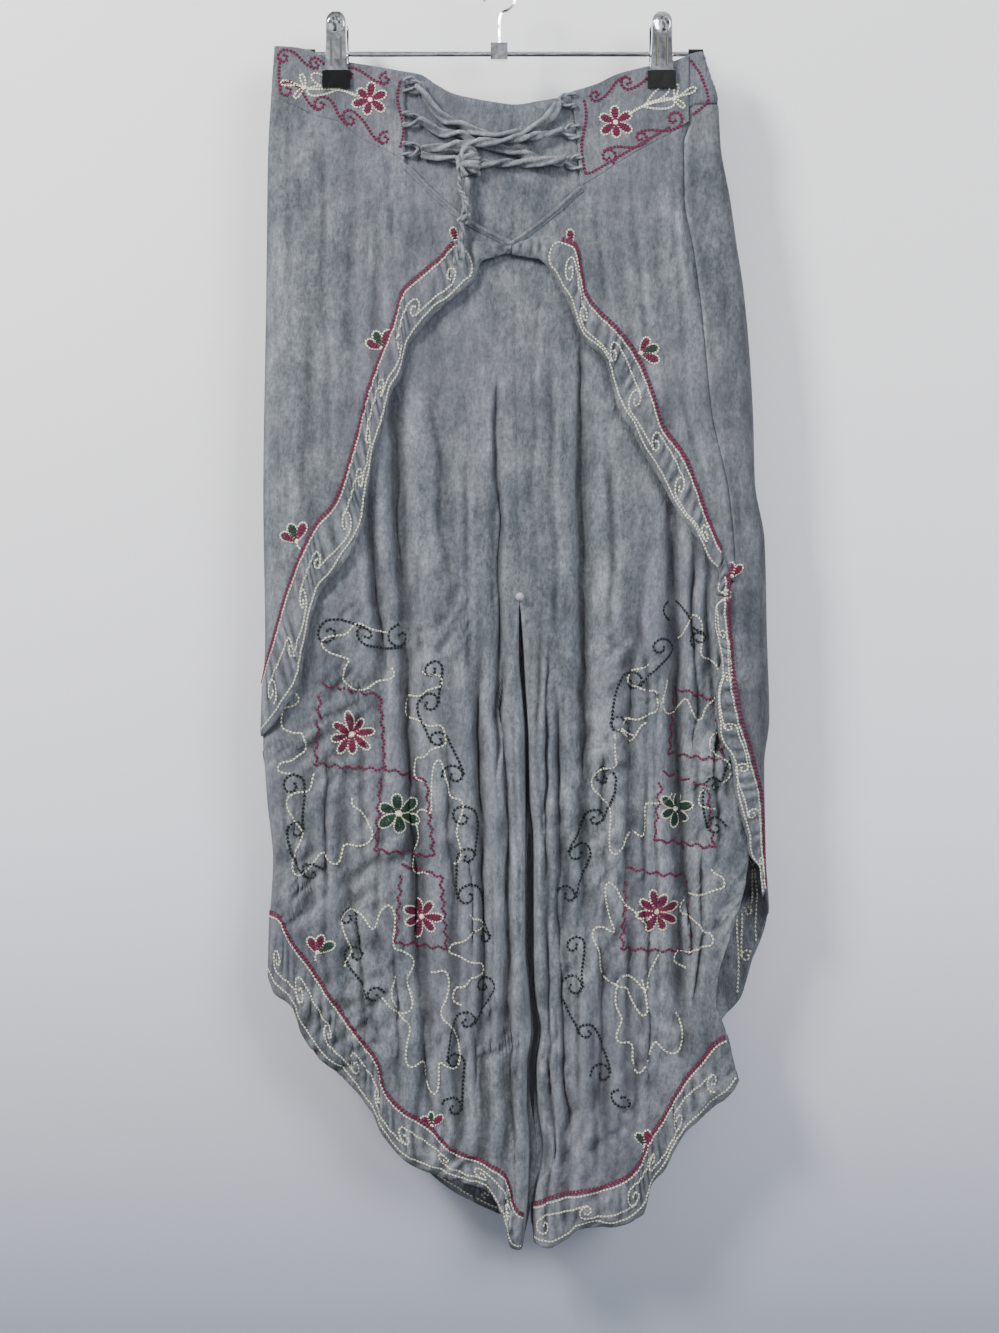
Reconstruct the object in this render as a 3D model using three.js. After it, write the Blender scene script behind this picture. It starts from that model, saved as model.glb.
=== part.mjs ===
import * as THREE from 'three';

// Wide-leg trousers with two crossed overlays, hung by two clips from a metal hanger.
// Millimetres, +Z up, +X to the right of a viewer in front of them, the front faces -Y.
// The origin is the inner top of the hanger's hook.

// Driving sizes
const CLOTH = 1.2;               // wall of every cut piece of gauze
const BORDER = 1.1;              // wall of the borders that lie on the edges
const SEAM = 0.4;                // gap left between two pieces at a seam
const LAYER = 2.4;               // pitch of the layers of cloth between the jaws
const STACK_FRONT = -10.8;       // outermost layer between the jaws
const STACK_BACK = STACK_FRONT + 2 * LAYER;
const LAP = 2;                   // how far the side seam's turned edge lies under the overlay
const WAISTBAND_HEIGHT = 45;     // elasticated band at the back
const GATHERS = 150;             // shirring of the elasticated band, side seam to side seam
const GATHER_DEPTH = 0.4;
const BAND_CLEAR = 0.9;          // gap between the shirred band and the panels below it
const ROD_Z = -62;               // axis of the hanger's rod below the hook
const ROD_DIAMETER = 4.8;
const ROD_LEFT = -158;
const ROD_RIGHT = 162;
const CAP_LENGTH = 13;
const CAP_DIAMETER = 8.6;
const HOOK_WIRE = 2.8;
const HOOK_RADIUS = 13.8;        // centre line of the hook's round
const CLIP_LEFT_X = -139.3;
const CLIP_RIGHT_X = 138.5;
const JAW_TIP_Z = -94.6;
const JAW_PAD_TOP_Z = -80;
const PAD_WIDTH = 24;
const LACE_DIAMETER = 4.6;
const LOOP_DIAMETER = 2.4;
const CROTCH_Z = -535;
const BEAD_RADIUS = 3.5;
const INSEAM_ROUND = 8;          // round of each leg where it folds back at the inseam

const GREY = 0x7d848c;
const GREY_DEEP = 0x6a7179;
const BURGUNDY_GREY = 0x75707c;
const CHROME = 0xc9ced4;
const RUBBER = 0x1b1d20;
const BEAD = 0xb4b6b8;

// Outlines. Each table is named by its columns, in millimetres.
const table = (names, ...rows) => rows
  .map((row) => Object.fromEntries(names.map((name, i) => [name, row[i]])))
  .sort((a, b) => a[names[0]] - b[names[0]]);

const SIDE_LEFT = table(['z', 'x'],
  [-58, -192], [-161, -198], [-273, -199.5], [-445, -202], [-566, -200.5], [-643, -204.5],
  [-669, -202], [-703, -199.5], [-755, -194.5], [-815, -198], [-849, -199], [-1090, -199]);
const SIDE_RIGHT = table(['z', 'x'],
  [-62, 174], [-84, 180.5], [-100, 186], [-144, 189], [-187, 197], [-228, 203], [-260, 208],
  [-316, 213.5], [-376, 217], [-430, 218.5], [-482, 227], [-566, 229], [-633, 231], [-673, 226.5],
  [-709, 227], [-754, 228], [-798, 230.5], [-1090, 230.5]);
const SIDE_SEAM_RIGHT = table(['z', 'x'],
  [-62, 162], [-124, 162], [-140, 157.5], [-187, 157.5], [-232, 165], [-285, 172], [-326, 175.5],
  [-376, 180.5], [-403, 186.5], [-445, 195], [-504, 199.5], [-519, 199.5]);
const SLIT_EDGE_RIGHT = table(['z', 'x'],
  [-519, 198], [-528, 182], [-558, 185], [-582, 188], [-605, 182.5], [-634, 184], [-658, 195],
  [-691, 201], [-720, 208], [-742, 215], [-754, 223]);
const FRONT_SIDE_RIGHT = table(['z', 'x'],
  [-62, 152], [-144, 152], [-187, 154], [-228, 165], [-316, 190], [-430, 206],
  [-482, 216], [-566, 218], [-633, 219], [-673, 215], [-709, 215], [-745, 213], [-768, 210],
  [-790, 205], [-819, 196], [-848, 187], [-875, 184], [-896, 192], [-922, 198], [-939, 204]);
const CENTRE_LEFT = table(['z', 'x'],
  [-84, 11.2], [-230, 12], [-359, 14], [-535, 17.2], [-578, 17.6], [-652, 22.4], [-700, 22.8],
  [-732, 22.5], [-831, 22.5], [-868, 26], [-901, 27.5], [-930, 24], [-963, 24], [-996, 26],
  [-1055, 24], [-1085, 20]);
const CENTRE_RIGHT = table(['z', 'x'],
  [-84, 11.2], [-230, 12], [-359, 14], [-535, 17.2], [-578, 19.6], [-652, 24], [-700, 24.6],
  [-732, 28.4], [-831, 29], [-868, 30], [-901, 35], [-930, 31], [-963, 32.5], [-1000, 37],
  [-1055, 28.5], [-1085, 29]);
const YOKE_TOP_LEFT = table(['x', 'z'],
  [-199, -57.5], [-176, -59], [-160, -62.5], [-148, -70], [-126, -73], [-99, -77], [-81, -81]);
const YOKE_LOW_LEFT = table(['x', 'z'],
  [-199, -98], [-174, -110], [-156, -118], [-138, -122.5], [-119, -137], [-91, -151], [-81, -158]);
const YOKE_TOP_RIGHT = table(['x', 'z'],
  [60, -98], [82, -91], [101, -82], [124, -76], [154, -69.5], [162, -65.5]);
const YOKE_LOW_RIGHT = table(['x', 'z'],
  [60, -183], [69, -179], [82, -171.5], [105, -156], [124, -145], [144, -134], [162, -122.5]);
const YOKE_SEAM_RIGHT = table(['z', 'x'],
  [-98, 60.5], [-130, 65.5], [-180, 69]);
const YOKE_SEAM_LEFT_X = -81;
const WAIST_BACK = table(['x', 'z'],
  [-199, -57.5], [-172, -60], [-133, -70], [-86, -76], [-69, -78], [-55, -86], [-40, -94],
  [-26, -97.5], [0, -102], [13, -103.5], [34, -100.5], [52, -97.5], [77, -91], [103, -82],
  [138, -73.5], [174, -62.5], [186, -62]);
const WAIST_FRONT = table(['x', 'z'],
  [-199, -69], [-133, -83], [-81, -91], [-67, -88], [-50, -95], [-40, -101], [-19, -112],
  [-8, -116.5], [10, -114.5], [20, -110.5], [34, -106.5], [52, -104], [64, -107], [129, -89],
  [163, -79], [186, -75]);
const NECK_LEFT = table(['x', 'z'], [-81, -158], [-52, -187], [-26, -208.5], [10.3, -227.5]);
const NECK_RIGHT = table(['x', 'z'], [10.3, -227.5], [40, -205], [69, -179]);
const OVERLAY_EDGE_LEFT = table(['x', 'z'],
  [-205, -648], [-195, -641], [-185, -627], [-169, -600], [-165, -575], [-160, -548],
  [-153, -528], [-134, -503], [-119.5, -479], [-114, -457], [-108, -412], [-99, -386],
  [-94, -361], [-83, -338], [-79, -318], [-67, -300], [-42, -277], [-22, -258], [-15, -243],
  [10.3, -236]);
const OVERLAY_PIPING_LEFT = table(['x', 'z'],
  [-205, -608], [-196, -575], [-176, -511], [-156, -467], [-138, -445], [-127, -412],
  [-120, -386], [-112, -354], [-98, -316], [-90, -295], [-82, -268], [-67, -254], [-51, -240],
  [-37, -226], [10.3, -229.2]);
const OVERLAY_EDGE_RIGHT = table(['x', 'z'],
  [10.3, -236], [32, -241], [40, -247], [52, -265], [60, -282], [71, -310], [85, -323],
  [91, -333], [95, -349], [101.5, -370], [109, -381.5], [120, -403], [138, -433], [150, -454],
  [169, -482], [187, -509.5], [200, -516.5]);
const OVERLAY_PIPING_RIGHT = table(['x', 'z'],
  [10.3, -229.2], [40, -222], [64, -228], [73, -269], [82, -282], [98, -298], [118, -325],
  [131, -356], [138, -381], [156.5, -408], [169, -438], [177, -461], [187, -486], [200, -504]);
const HEM_FRONT_LEFT = table(['x', 'z'],
  [-200, -850], [-192, -866], [-178, -875], [-168, -902], [-154, -920], [-131, -940.5],
  [-110, -965.5], [-100, -987], [-75, -1013], [-43, -1024], [-11, -1034], [4, -1061],
  [10, -1084], [20, -1086]);
const PIPING_FRONT_LEFT = table(['x', 'z'],
  [-200, -796], [-188, -800], [-180, -817], [-157, -848], [-142, -871], [-117, -906],
  [-105, -922], [-99, -946], [-82, -965], [-60, -979], [-43, -997], [-10, -1011], [4, -1021],
  [13, -1048], [24, -1057]);
const HEM_FRONT_RIGHT = table(['x', 'z'],
  [29, -1080], [40, -1083], [58, -1076], [66, -1069], [107, -1062], [123, -1055], [129, -1031],
  [144, -1012], [151, -995], [162, -981], [180, -966], [198, -950], [205, -939]);
const PIPING_FRONT_RIGHT = table(['x', 'z'],
  [28, -1047], [55, -1037], [98, -1027], [111, -1020], [122, -1006], [127, -991], [138, -973],
  [158, -939], [172, -922], [186, -905], [205, -897]);
const HEM_BACK_LEFT = table(['x', 'z'],
  [-205, -649], [-196, -705], [-182, -790], [-162, -878], [-136, -935], [-110, -974],
  [-67, -1021], [-40, -1043], [-22, -1052], [4, -1064], [22, -1072]);
const HEM_BACK_RIGHT = table(['x', 'z'],
  [28, -1066], [60, -1052], [90, -1036], [120, -1011], [150, -975], [178, -925], [193, -894],
  [209, -873], [217, -846], [226, -821], [231, -797]);
const BORDER_WIDTH_BACK = 31;
const SLIT_TOP_Z = -519;         // where the right side seam opens into the slit
const SLIT_END_Z = -754;         // where the slit's edge reaches the side fold
const SLIT_FOLD_Z = -797;        // lowest point of the side fold's own edge

// Depth of the flattened garment: where the front and the back lie, at the clips and free of them
const DEPTH_CLIPPED = table(['z', 'front', 'back'],
  [-58, STACK_FRONT, STACK_BACK], [-120, STACK_FRONT, STACK_BACK], [-150, -12.5, -2],
  [-210, -16.5, 6], [-350, -22, 12],
  [-500, -25, 16], [-700, -26, 18], [-1090, -22, 15]);
const DEPTH_FREE = table(['z', 'front', 'back'],
  [-58, -13, 7], [-120, -13, 7], [-150, -14, 8], [-210, -17, 10], [-350, -22, 12],
  [-500, -25, 16], [-700, -26, 18], [-1090, -22, 15]);
const UNDER_LAG = table(['z', 'lag'],
  [-58, LAYER], [-130, LAYER], [-200, 4], [-320, 6], [-1090, 6]);

// Main folds: a soft trough runs from (x0, z0) to (x1, z1), this wide and this deep
const fold = (x0, z0, x1, z1, width, depth) => ({ x0, z0, x1, z1, width, depth });
const FRONT_FOLDS = [
  fold(-92, -330, -62, -930, 9, 10),
  fold(-4, -330, 0, -700, 6, 6),
  fold(-112, -430, -97, -600, 8, 7),
  fold(-57, -330, -40, -520, 9, 4),
  fold(-140, -640, -125, -840, 10, 6),
  fold(-172, -660, -160, -830, 9, 6),
  fold(-20, -560, -14, -1010, 7, 9),
  fold(4, -600, 6, -1060, 6, 8),
  fold(-42, -700, -34, -1000, 8, 7),
  fold(68, -330, 75, -820, 9, 11),
  fold(146, -430, 156, -900, 9, 14),
  fold(168, -450, 162, -560, 6, 7),
  fold(178, -470, 176, -640, 5, 6),
  fold(112, -520, 108, -980, 10, 6),
  fold(52, -600, 56, -1040, 8, 8),
  fold(40, -640, 40, -1060, 5, 7),
  fold(90, -640, 88, -1010, 8, 6),
];
const BACK_FOLDS = [
  fold(-160, -200, -150, -860, 12, 9),
  fold(-118, -140, -126, -700, 10, 8),
  fold(-80, -140, -86, -960, 12, 10),
  fold(-40, -150, -52, -780, 9, 8),
  fold(-24, -560, -22, -1030, 8, 8),
  fold(30, -150, 66, -700, 10, 8),
  fold(70, -150, 84, -980, 12, 10),
  fold(110, -140, 128, -820, 10, 9),
  fold(150, -180, 164, -720, 12, 8),
  fold(46, -560, 52, -1030, 7, 8),
  fold(180, -420, 190, -800, 9, 7),
];
const OVERLAY_FOLDS = [
  fold(-124, -150, -130, -300, 6, 2),
  fold(-160, -240, -165, -520, 8, 2),
  fold(-104, -190, -108, -330, 6, 1.6),
  fold(96, -190, 112, -330, 6, 2),
  fold(130, -160, 146, -400, 8, 2),
  fold(60, -200, 64, -260, 5, 1.2),
];

const clamp = (value, low, high) => Math.min(Math.max(value, low), high);
const smooth = (from, to, value) => {
  const t = clamp((value - from) / (to - from), 0, 1);
  return t * t * (3 - 2 * t);
};

// Value of one column of a table at a value of its first column, along straight lines
function read(rows, key, at, column) {
  if (at <= rows[0][key]) return rows[0][column];
  for (let i = 1; i < rows.length; i += 1) {
    if (at <= rows[i][key]) {
      const t = (at - rows[i - 1][key]) / (rows[i][key] - rows[i - 1][key]);
      return rows[i - 1][column] + t * (rows[i][column] - rows[i - 1][column]);
    }
  }
  return rows[rows.length - 1][column];
}
const xAt = (rows, z) => read(rows, 'z', z, 'x');
const zAt = (rows, x) => read(rows, 'x', x, 'z');

// How far the cloth is free of the clips and of the side folds near the waist, 0 to 1
function freeOfClips(x) {
  const inside = smooth(CLIP_LEFT_X + 14, CLIP_LEFT_X + 90, x);
  return inside * (1 - smooth(CLIP_RIGHT_X - 90, CLIP_RIGHT_X - 14, x));
}
function depthAt(x, z, column) {
  const free = freeOfClips(x);
  const clipped = read(DEPTH_CLIPPED, 'z', z, column);
  return clipped + free * (read(DEPTH_FREE, 'z', z, column) - clipped);
}
const middleAt = (x, z) => 0.5 * (depthAt(x, z, 'front') + depthAt(x, z, 'back'));

function troughs(folds, x, z) {
  let sum = 0;
  for (const f of folds) {
    const t = clamp((z - f.z0) / (f.z1 - f.z0), 0, 1);
    const centre = f.x0 + t * (f.x1 - f.x0);
    const along = smooth(f.z0 + 30, f.z0 - 110, z) * (1 - smooth(f.z1 + 60, f.z1 - 60, z));
    const across = (x - centre) / f.width;
    sum = Math.max(sum, f.depth * along * Math.exp(-across * across));
  }
  return sum;
}

// Round of a side fold: 0 on the fold's extreme, 1 where the cloth lies flat
const roundOff = (distance, radius) => {
  const t = clamp(1 - distance / radius, 0, 1);
  return Math.sqrt(1 - t * t);
};

// Height of the layers in Y. Each is a function of x and z, and takes the folds with it
const foldRadius = (x, z) => Math.max(3.8, 0.8 * (depthAt(x, z, 'back') - depthAt(x, z, 'front')));
const legRound = (z) => INSEAM_ROUND * smooth(CROTCH_Z + 5, CROTCH_Z - 70, z);

function sideRound(x, z, inset) {
  const radius = foldRadius(x, z);
  const left = roundOff(x - xAt(SIDE_LEFT, z) - inset, radius);
  const right = roundOff(xAt(SIDE_RIGHT, z) - inset - x, radius);
  return Math.min(left, right);
}
function legSideRound(x, z, isLeft) {
  const radius = legRound(z);
  if (radius < 0.5) return 1;
  const edge = isLeft ? xAt(CENTRE_LEFT, z) - 0.8 - x : x - xAt(CENTRE_RIGHT, z) - 0.8;
  return roundOff(edge, radius);
}
function overlayY(x, z) {
  const middle = middleAt(x, z);
  const front = depthAt(x, z, 'front') + troughs(OVERLAY_FOLDS, x, z);
  return middle + (front - middle) * sideRound(x, z, 0);
}
function underY(x, z, isLeft) {
  const middle = middleAt(x, z);
  const lag = read(UNDER_LAG, 'z', z, 'lag');
  const front = depthAt(x, z, 'front') + lag + troughs(FRONT_FOLDS, x, z);
  const round = Math.min(sideRound(x, z, underInset(z)), legSideRound(x, z, isLeft));
  return middle + (front - middle) * round;
}
const underInset = (z) => 0.8 + 4.2 * smooth(-665, -625, z);
function backY(x, z, isLeft) {
  const middle = middleAt(x, z);
  const back = depthAt(x, z, 'back') - troughs(BACK_FOLDS, x, z) * smooth(-140, -360, z);
  const round = Math.min(sideRound(x, z, 0), legSideRound(x, z, isLeft));
  return middle + (back - middle) * round;
}

// Panel grids: columns run from the top line to the hem line, rows cross them
const denseAtStart = (t) => t ** 1.3;
const denseAtEnds = (t) => t - 0.6 * Math.sin(2 * Math.PI * t) / (2 * Math.PI);

// Finds the height where a column meets a line that is given along X
function meet(columnX, line) {
  let z = line(columnX(-300));
  for (let i = 0; i < 24; i += 1) z += 0.6 * (line(columnX(z)) - z);
  return z;
}

// One column is a point for each height. The rows come from the list of lines it crosses
function columnPoints(columnX, heightY, lines, rowsBetween) {
  const stops = lines.map((line) => meet(columnX, line));
  const points = [];
  for (let k = 0; k + 1 < stops.length; k += 1) {
    const count = rowsBetween[k];
    for (let j = k === 0 ? 0 : 1; j <= count; j += 1) {
      const z = stops[k] + (stops[k + 1] - stops[k]) * (j / count);
      const x = columnX(z);
      points.push(new THREE.Vector3(x, heightY(x, z), z));
    }
  }
  return points;
}

// Outward normal of a height function, level with X on the extreme of a fold
function normalOf(heightY, point, facing, extremeX) {
  if (Math.abs(extremeX(point.z) - point.x) < 0.35) {
    return new THREE.Vector3(Math.sign(point.x - 10), 0, 0);
  }
  const step = 0.4;
  const slopeX = (heightY(point.x + step, point.z) - heightY(point.x - step, point.z)) / (2 * step);
  const slopeZ = (heightY(point.x, point.z + 2) - heightY(point.x, point.z - 2)) / 4;
  const normal = new THREE.Vector3(-clamp(slopeX, -4, 4), 1, -clamp(slopeZ, -1.5, 1.5));
  return normal.normalize().multiplyScalar(facing);
}

// Closed wall over a grid of points, moved out by shift along the normals
function wallOf(points, normals, thickness, shift = 0) {
  const columns = points.length;
  const rows = points[0].length;
  const positions = [];
  for (const side of [0.5, -0.5]) {
    for (let i = 0; i < columns; i += 1) {
      for (let j = 0; j < rows; j += 1) {
        const p = points[i][j].clone().addScaledVector(normals[i][j], shift + side * thickness);
        positions.push(p.x, p.y, p.z);
      }
    }
  }
  const at = (i, j, inner) => (inner ? columns * rows : 0) + i * rows + j;
  const faces = [];
  const quad = (a, b, c, d) => faces.push(a, b, c, a, c, d);
  for (let i = 0; i + 1 < columns; i += 1) {
    for (let j = 0; j + 1 < rows; j += 1) {
      quad(at(i, j, false), at(i + 1, j, false), at(i + 1, j + 1, false), at(i, j + 1, false));
      quad(at(i + 1, j + 1, true), at(i + 1, j, true), at(i, j, true), at(i, j + 1, true));
    }
  }
  const last = rows - 1;
  for (let i = 0; i + 1 < columns; i += 1) {
    quad(at(i, 0, true), at(i + 1, 0, true), at(i + 1, 0, false), at(i, 0, false));
    quad(at(i, last, false), at(i + 1, last, false), at(i + 1, last, true), at(i, last, true));
  }
  const end = columns - 1;
  for (let j = 0; j < last; j += 1) {
    quad(at(0, j, false), at(0, j + 1, false), at(0, j + 1, true), at(0, j, true));
    quad(at(end, j, true), at(end, j + 1, true), at(end, j + 1, false), at(end, j, false));
  }
  return facingOut(positions, faces);
}

function facingOut(positions, faces) {
  let volume = 0;
  const corner = (k) => new THREE.Vector3().fromArray(positions, 3 * faces[k]);
  for (let k = 0; k < faces.length; k += 3) {
    volume += corner(k).dot(corner(k + 1).cross(corner(k + 2)));
  }
  const geometry = new THREE.BufferGeometry();
  geometry.setAttribute('position', new THREE.Float32BufferAttribute(positions, 3));
  geometry.setIndex(volume > 0 ? faces : faces.slice().reverse());
  geometry.computeVertexNormals();
  return geometry;
}

const garment = new THREE.Group();
const fabric = (color) => new THREE.MeshStandardMaterial({ color, roughness: 0.92, metalness: 0 });
const metal = () => new THREE.MeshStandardMaterial({ color: CHROME, roughness: 0.18, metalness: 1 });
const rubber = () => new THREE.MeshStandardMaterial({ color: RUBBER, roughness: 0.6, metalness: 0 });

function add(name, geometry, material) {
  const mesh = new THREE.Mesh(geometry, material);
  mesh.name = name;
  garment.add(mesh);
}

// A sheet is a grid of columns over one layer, and knows its normals
function sheet(columnXs, heightY, facing, extremeX, lines, rowsBetween) {
  const points = columnXs.map((columnX) => columnPoints(columnX, heightY, lines, rowsBetween));
  const normals = points.map((column) => column.map((p) => normalOf(heightY, p, facing, extremeX)));
  return { points, normals };
}
const rowsFrom = (grid, first, last) => ({
  points: grid.points.map((column) => column.slice(first, last)),
  normals: grid.normals.map((column) => column.slice(first, last)),
});
const across = (count, make) => Array.from({ length: count + 1 }, (_, i) => make(i / count));

// Border laid on the last rows of a sheet, moved out from its points
function addBorder(name, grid, first) {
  const band = rowsFrom(grid, first, undefined);
  const lift = CLOTH / 2 + 0.3 + BORDER / 2;
  add(name, wallOf(band.points, band.normals, BORDER, lift), fabric(BURGUNDY_GREY));
}

const never = () => 1e6;
const below = (line, drop) => (x) => line(x) - drop;
const lineOf = (rows) => (x) => zAt(rows, x);
const level = (z) => () => z;

function addOverlays() {
  const leftInner = 10.3 - SEAM / 2;
  const leftColumns = [
    ...across(13, (t) => (z) => {
      const start = xAt(SIDE_LEFT, z);
      return start + (YOKE_SEAM_LEFT_X - start) * denseAtStart(t);
    }),
    ...across(10, (t) => () => YOKE_SEAM_LEFT_X + (leftInner - YOKE_SEAM_LEFT_X) * t).slice(1),
  ];
  const leftTop = (x) => (x <= YOKE_SEAM_LEFT_X ? zAt(YOKE_LOW_LEFT, x) : zAt(NECK_LEFT, x));
  const seamedY = (x, z) => Math.min(overlayY(x, z), middleAt(x, z) - SEAM / 2);
  const extremeLeft = (z) => xAt(SIDE_LEFT, z);
  const left = sheet(leftColumns, seamedY, -1, extremeLeft,
    [below(leftTop, SEAM), lineOf(OVERLAY_PIPING_LEFT), lineOf(OVERLAY_EDGE_LEFT)], [8, 2]);
  add('overlay_left', wallOf(left.points, left.normals, CLOTH), fabric(GREY));
  addBorder('overlay_border_left', left, 8);
  const yokeLeft = sheet(leftColumns.slice(0, 14), seamedY, -1, extremeLeft,
    [lineOf(YOKE_TOP_LEFT), lineOf(YOKE_LOW_LEFT)], [4]);
  add('yoke_left', wallOf(yokeLeft.points, yokeLeft.normals, CLOTH), fabric(BURGUNDY_GREY));

  const rightInner = 10.3 + SEAM / 2;
  const yokeSeam = (z) => xAt(YOKE_SEAM_RIGHT, z);
  const rightColumns = [
    ...across(9, (t) => (z) => rightInner + (yokeSeam(z) - rightInner) * t),
    ...across(12, (t) => (z) => {
      const end = xAt(SIDE_SEAM_RIGHT, z) - SEAM / 2;
      return yokeSeam(z) + (end - yokeSeam(z)) * t;
    }).slice(1),
  ];
  const rightTop = (x) => (x >= 69 ? zAt(YOKE_LOW_RIGHT, x) : zAt(NECK_RIGHT, x));
  const right = sheet(rightColumns, overlayY, -1, never,
    [below(rightTop, SEAM), lineOf(OVERLAY_PIPING_RIGHT), lineOf(OVERLAY_EDGE_RIGHT)], [8, 2]);
  add('overlay_right', wallOf(right.points, right.normals, CLOTH), fabric(GREY));
  addBorder('overlay_border_right', right, 8);
  const yokeRight = sheet(rightColumns.slice(9), overlayY, -1, never,
    [lineOf(YOKE_TOP_RIGHT), lineOf(YOKE_LOW_RIGHT)], [4]);
  add('yoke_right', wallOf(yokeRight.points, yokeRight.normals, CLOTH), fabric(BURGUNDY_GREY));
}

function addFrontPanels() {
  const inseam = (z) => SEAM / 2 + 0.6 * smooth(CROTCH_Z + 10, CROTCH_Z - 20, z);
  const leftColumns = across(30, (t) => (z) => {
    const start = xAt(SIDE_LEFT, z) + underInset(z) + 5 * smooth(-300, -100, z);
    const end = xAt(CENTRE_LEFT, z) - inseam(z);
    return start + (end - start) * denseAtEnds(t);
  });
  const leftY = (x, z) => Math.min(underY(x, z, true), middleAt(x, z) - SEAM / 2);
  const leftExtreme = (z) => (z > CROTCH_Z - 40 ? 1e6 : xAt(CENTRE_LEFT, z) - inseam(z));
  const left = sheet(leftColumns, leftY, -1, leftExtreme,
    [lineOf(WAIST_FRONT), level(CROTCH_Z), lineOf(PIPING_FRONT_LEFT), lineOf(HEM_FRONT_LEFT)],
    [5, 7, 2]);
  add('front_panel_left', wallOf(left.points, left.normals, CLOTH), fabric(GREY));
  addBorder('front_hem_band_left', left, 12);

  const rightColumns = across(30, (t) => (z) => {
    const start = xAt(CENTRE_RIGHT, z) + inseam(z);
    const end = xAt(FRONT_SIDE_RIGHT, z);
    return start + (end - start) * denseAtEnds(t);
  });
  const rightY = (x, z) => Math.min(underY(x, z, false), middleAt(x, z) - SEAM / 2);
  const rightExtreme = (z) => (z > CROTCH_Z - 40 ? 1e6 : xAt(CENTRE_RIGHT, z) + inseam(z));
  const right = sheet(rightColumns, rightY, -1, rightExtreme,
    [lineOf(WAIST_FRONT), level(CROTCH_Z), lineOf(PIPING_FRONT_RIGHT), lineOf(HEM_FRONT_RIGHT)],
    [5, 7, 2]);
  add('front_panel_right', wallOf(right.points, right.normals, CLOTH), fabric(GREY));
  addBorder('front_hem_band_right', right, 12);
}

// The right back panel turns round the side fold and ends on the front, at the side seam and slit
function turnedEdge(z) {
  return z > -519 ? xAt(SIDE_SEAM_RIGHT, z) + SEAM / 2 : xAt(SLIT_EDGE_RIGHT, z);
}

function addBackPanels() {
  const seamLine = (x) => zAt(WAIST_BACK, x) - WAISTBAND_HEIGHT - BAND_CLEAR;
  const inseam = (z) => SEAM / 2 + 0.6 * smooth(CROTCH_Z + 10, CROTCH_Z - 20, z);
  const leftColumns = across(28, (t) => (z) => {
    const start = xAt(SIDE_LEFT, z) + 2.4 * smooth(-640, -660, z);
    const end = xAt(CENTRE_LEFT, z) - inseam(z);
    return start + (end - start) * denseAtEnds(t);
  });
  const leftY = (x, z) => Math.max(backY(x, z, true), middleAt(x, z) + SEAM / 2);
  const leftExtreme = (z) => xAt(SIDE_LEFT, z) + 2.4 * smooth(-640, -660, z);
  const hemLeft = lineOf(HEM_BACK_LEFT);
  const left = sheet(leftColumns, leftY, 1, leftExtreme,
    [seamLine, level(CROTCH_Z), (x) => hemLeft(x) + BORDER_WIDTH_BACK, hemLeft], [4, 6, 2]);
  add('back_panel_left', wallOf(left.points, left.normals, CLOTH), fabric(GREY));
  addBorder('back_hem_band_left', left, 10);
  addRightBackPanel(seamLine, inseam);
}

// Its columns lie across the back, go round the side fold and end on the front, at the slit
function addRightBackPanel(seamLine, inseam) {
  const extreme = (z) => xAt(SIDE_RIGHT, z);
  const backX = across(24, (t) => (z) => {
    const start = xAt(CENTRE_RIGHT, z) + inseam(z);
    return start + (extreme(z) - start) * (1 - denseAtStart(1 - t));
  });
  const flapX = across(6, (t) => (z) => (
    extreme(z) - Math.max(extreme(z) - turnedEdge(z), 3) * denseAtStart(t)
  )).slice(1);
  const backHeight = (x, z) => Math.max(backY(x, z, false), middleAt(x, z));
  const hem = lineOf(HEM_BACK_RIGHT);
  const backHem = [seamLine, level(SLIT_TOP_Z), (x) => hem(x) + BORDER_WIDTH_BACK, hem];
  const back = sheet(backX, backHeight, 1, extreme, backHem, [5, 6, 2]);
  const flap = { points: [], normals: [] };
  flapX.forEach((columnX, i) => {
    const end = SLIT_END_Z + (SLIT_FOLD_Z - SLIT_END_Z) * (1 - (i + 1) / flapX.length);
    const lines = [seamLine, level(SLIT_TOP_Z), level(end + BORDER_WIDTH_BACK), level(end)];
    const lapped = (x, z) => overlayY(x, z) + LAP * smooth(0, 14, extreme(z) - x);
    const column = sheet([columnX], lapped, -1, extreme, lines, [5, 6, 2]);
    flap.points.push(column.points[0]);
    flap.normals.push(column.normals[0]);
  });
  const points = [...back.points, ...flap.points];
  const normals = [...back.normals, ...flap.normals];
  add('back_panel_right', wallOf(points, normals, CLOTH), fabric(GREY));
  addBorder('back_hem_band_right', back, 11);
  addBorder('slit_border_right', {
    points: flap.points.slice(3),
    normals: flap.normals.slice(3),
  }, 5);
}

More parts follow.
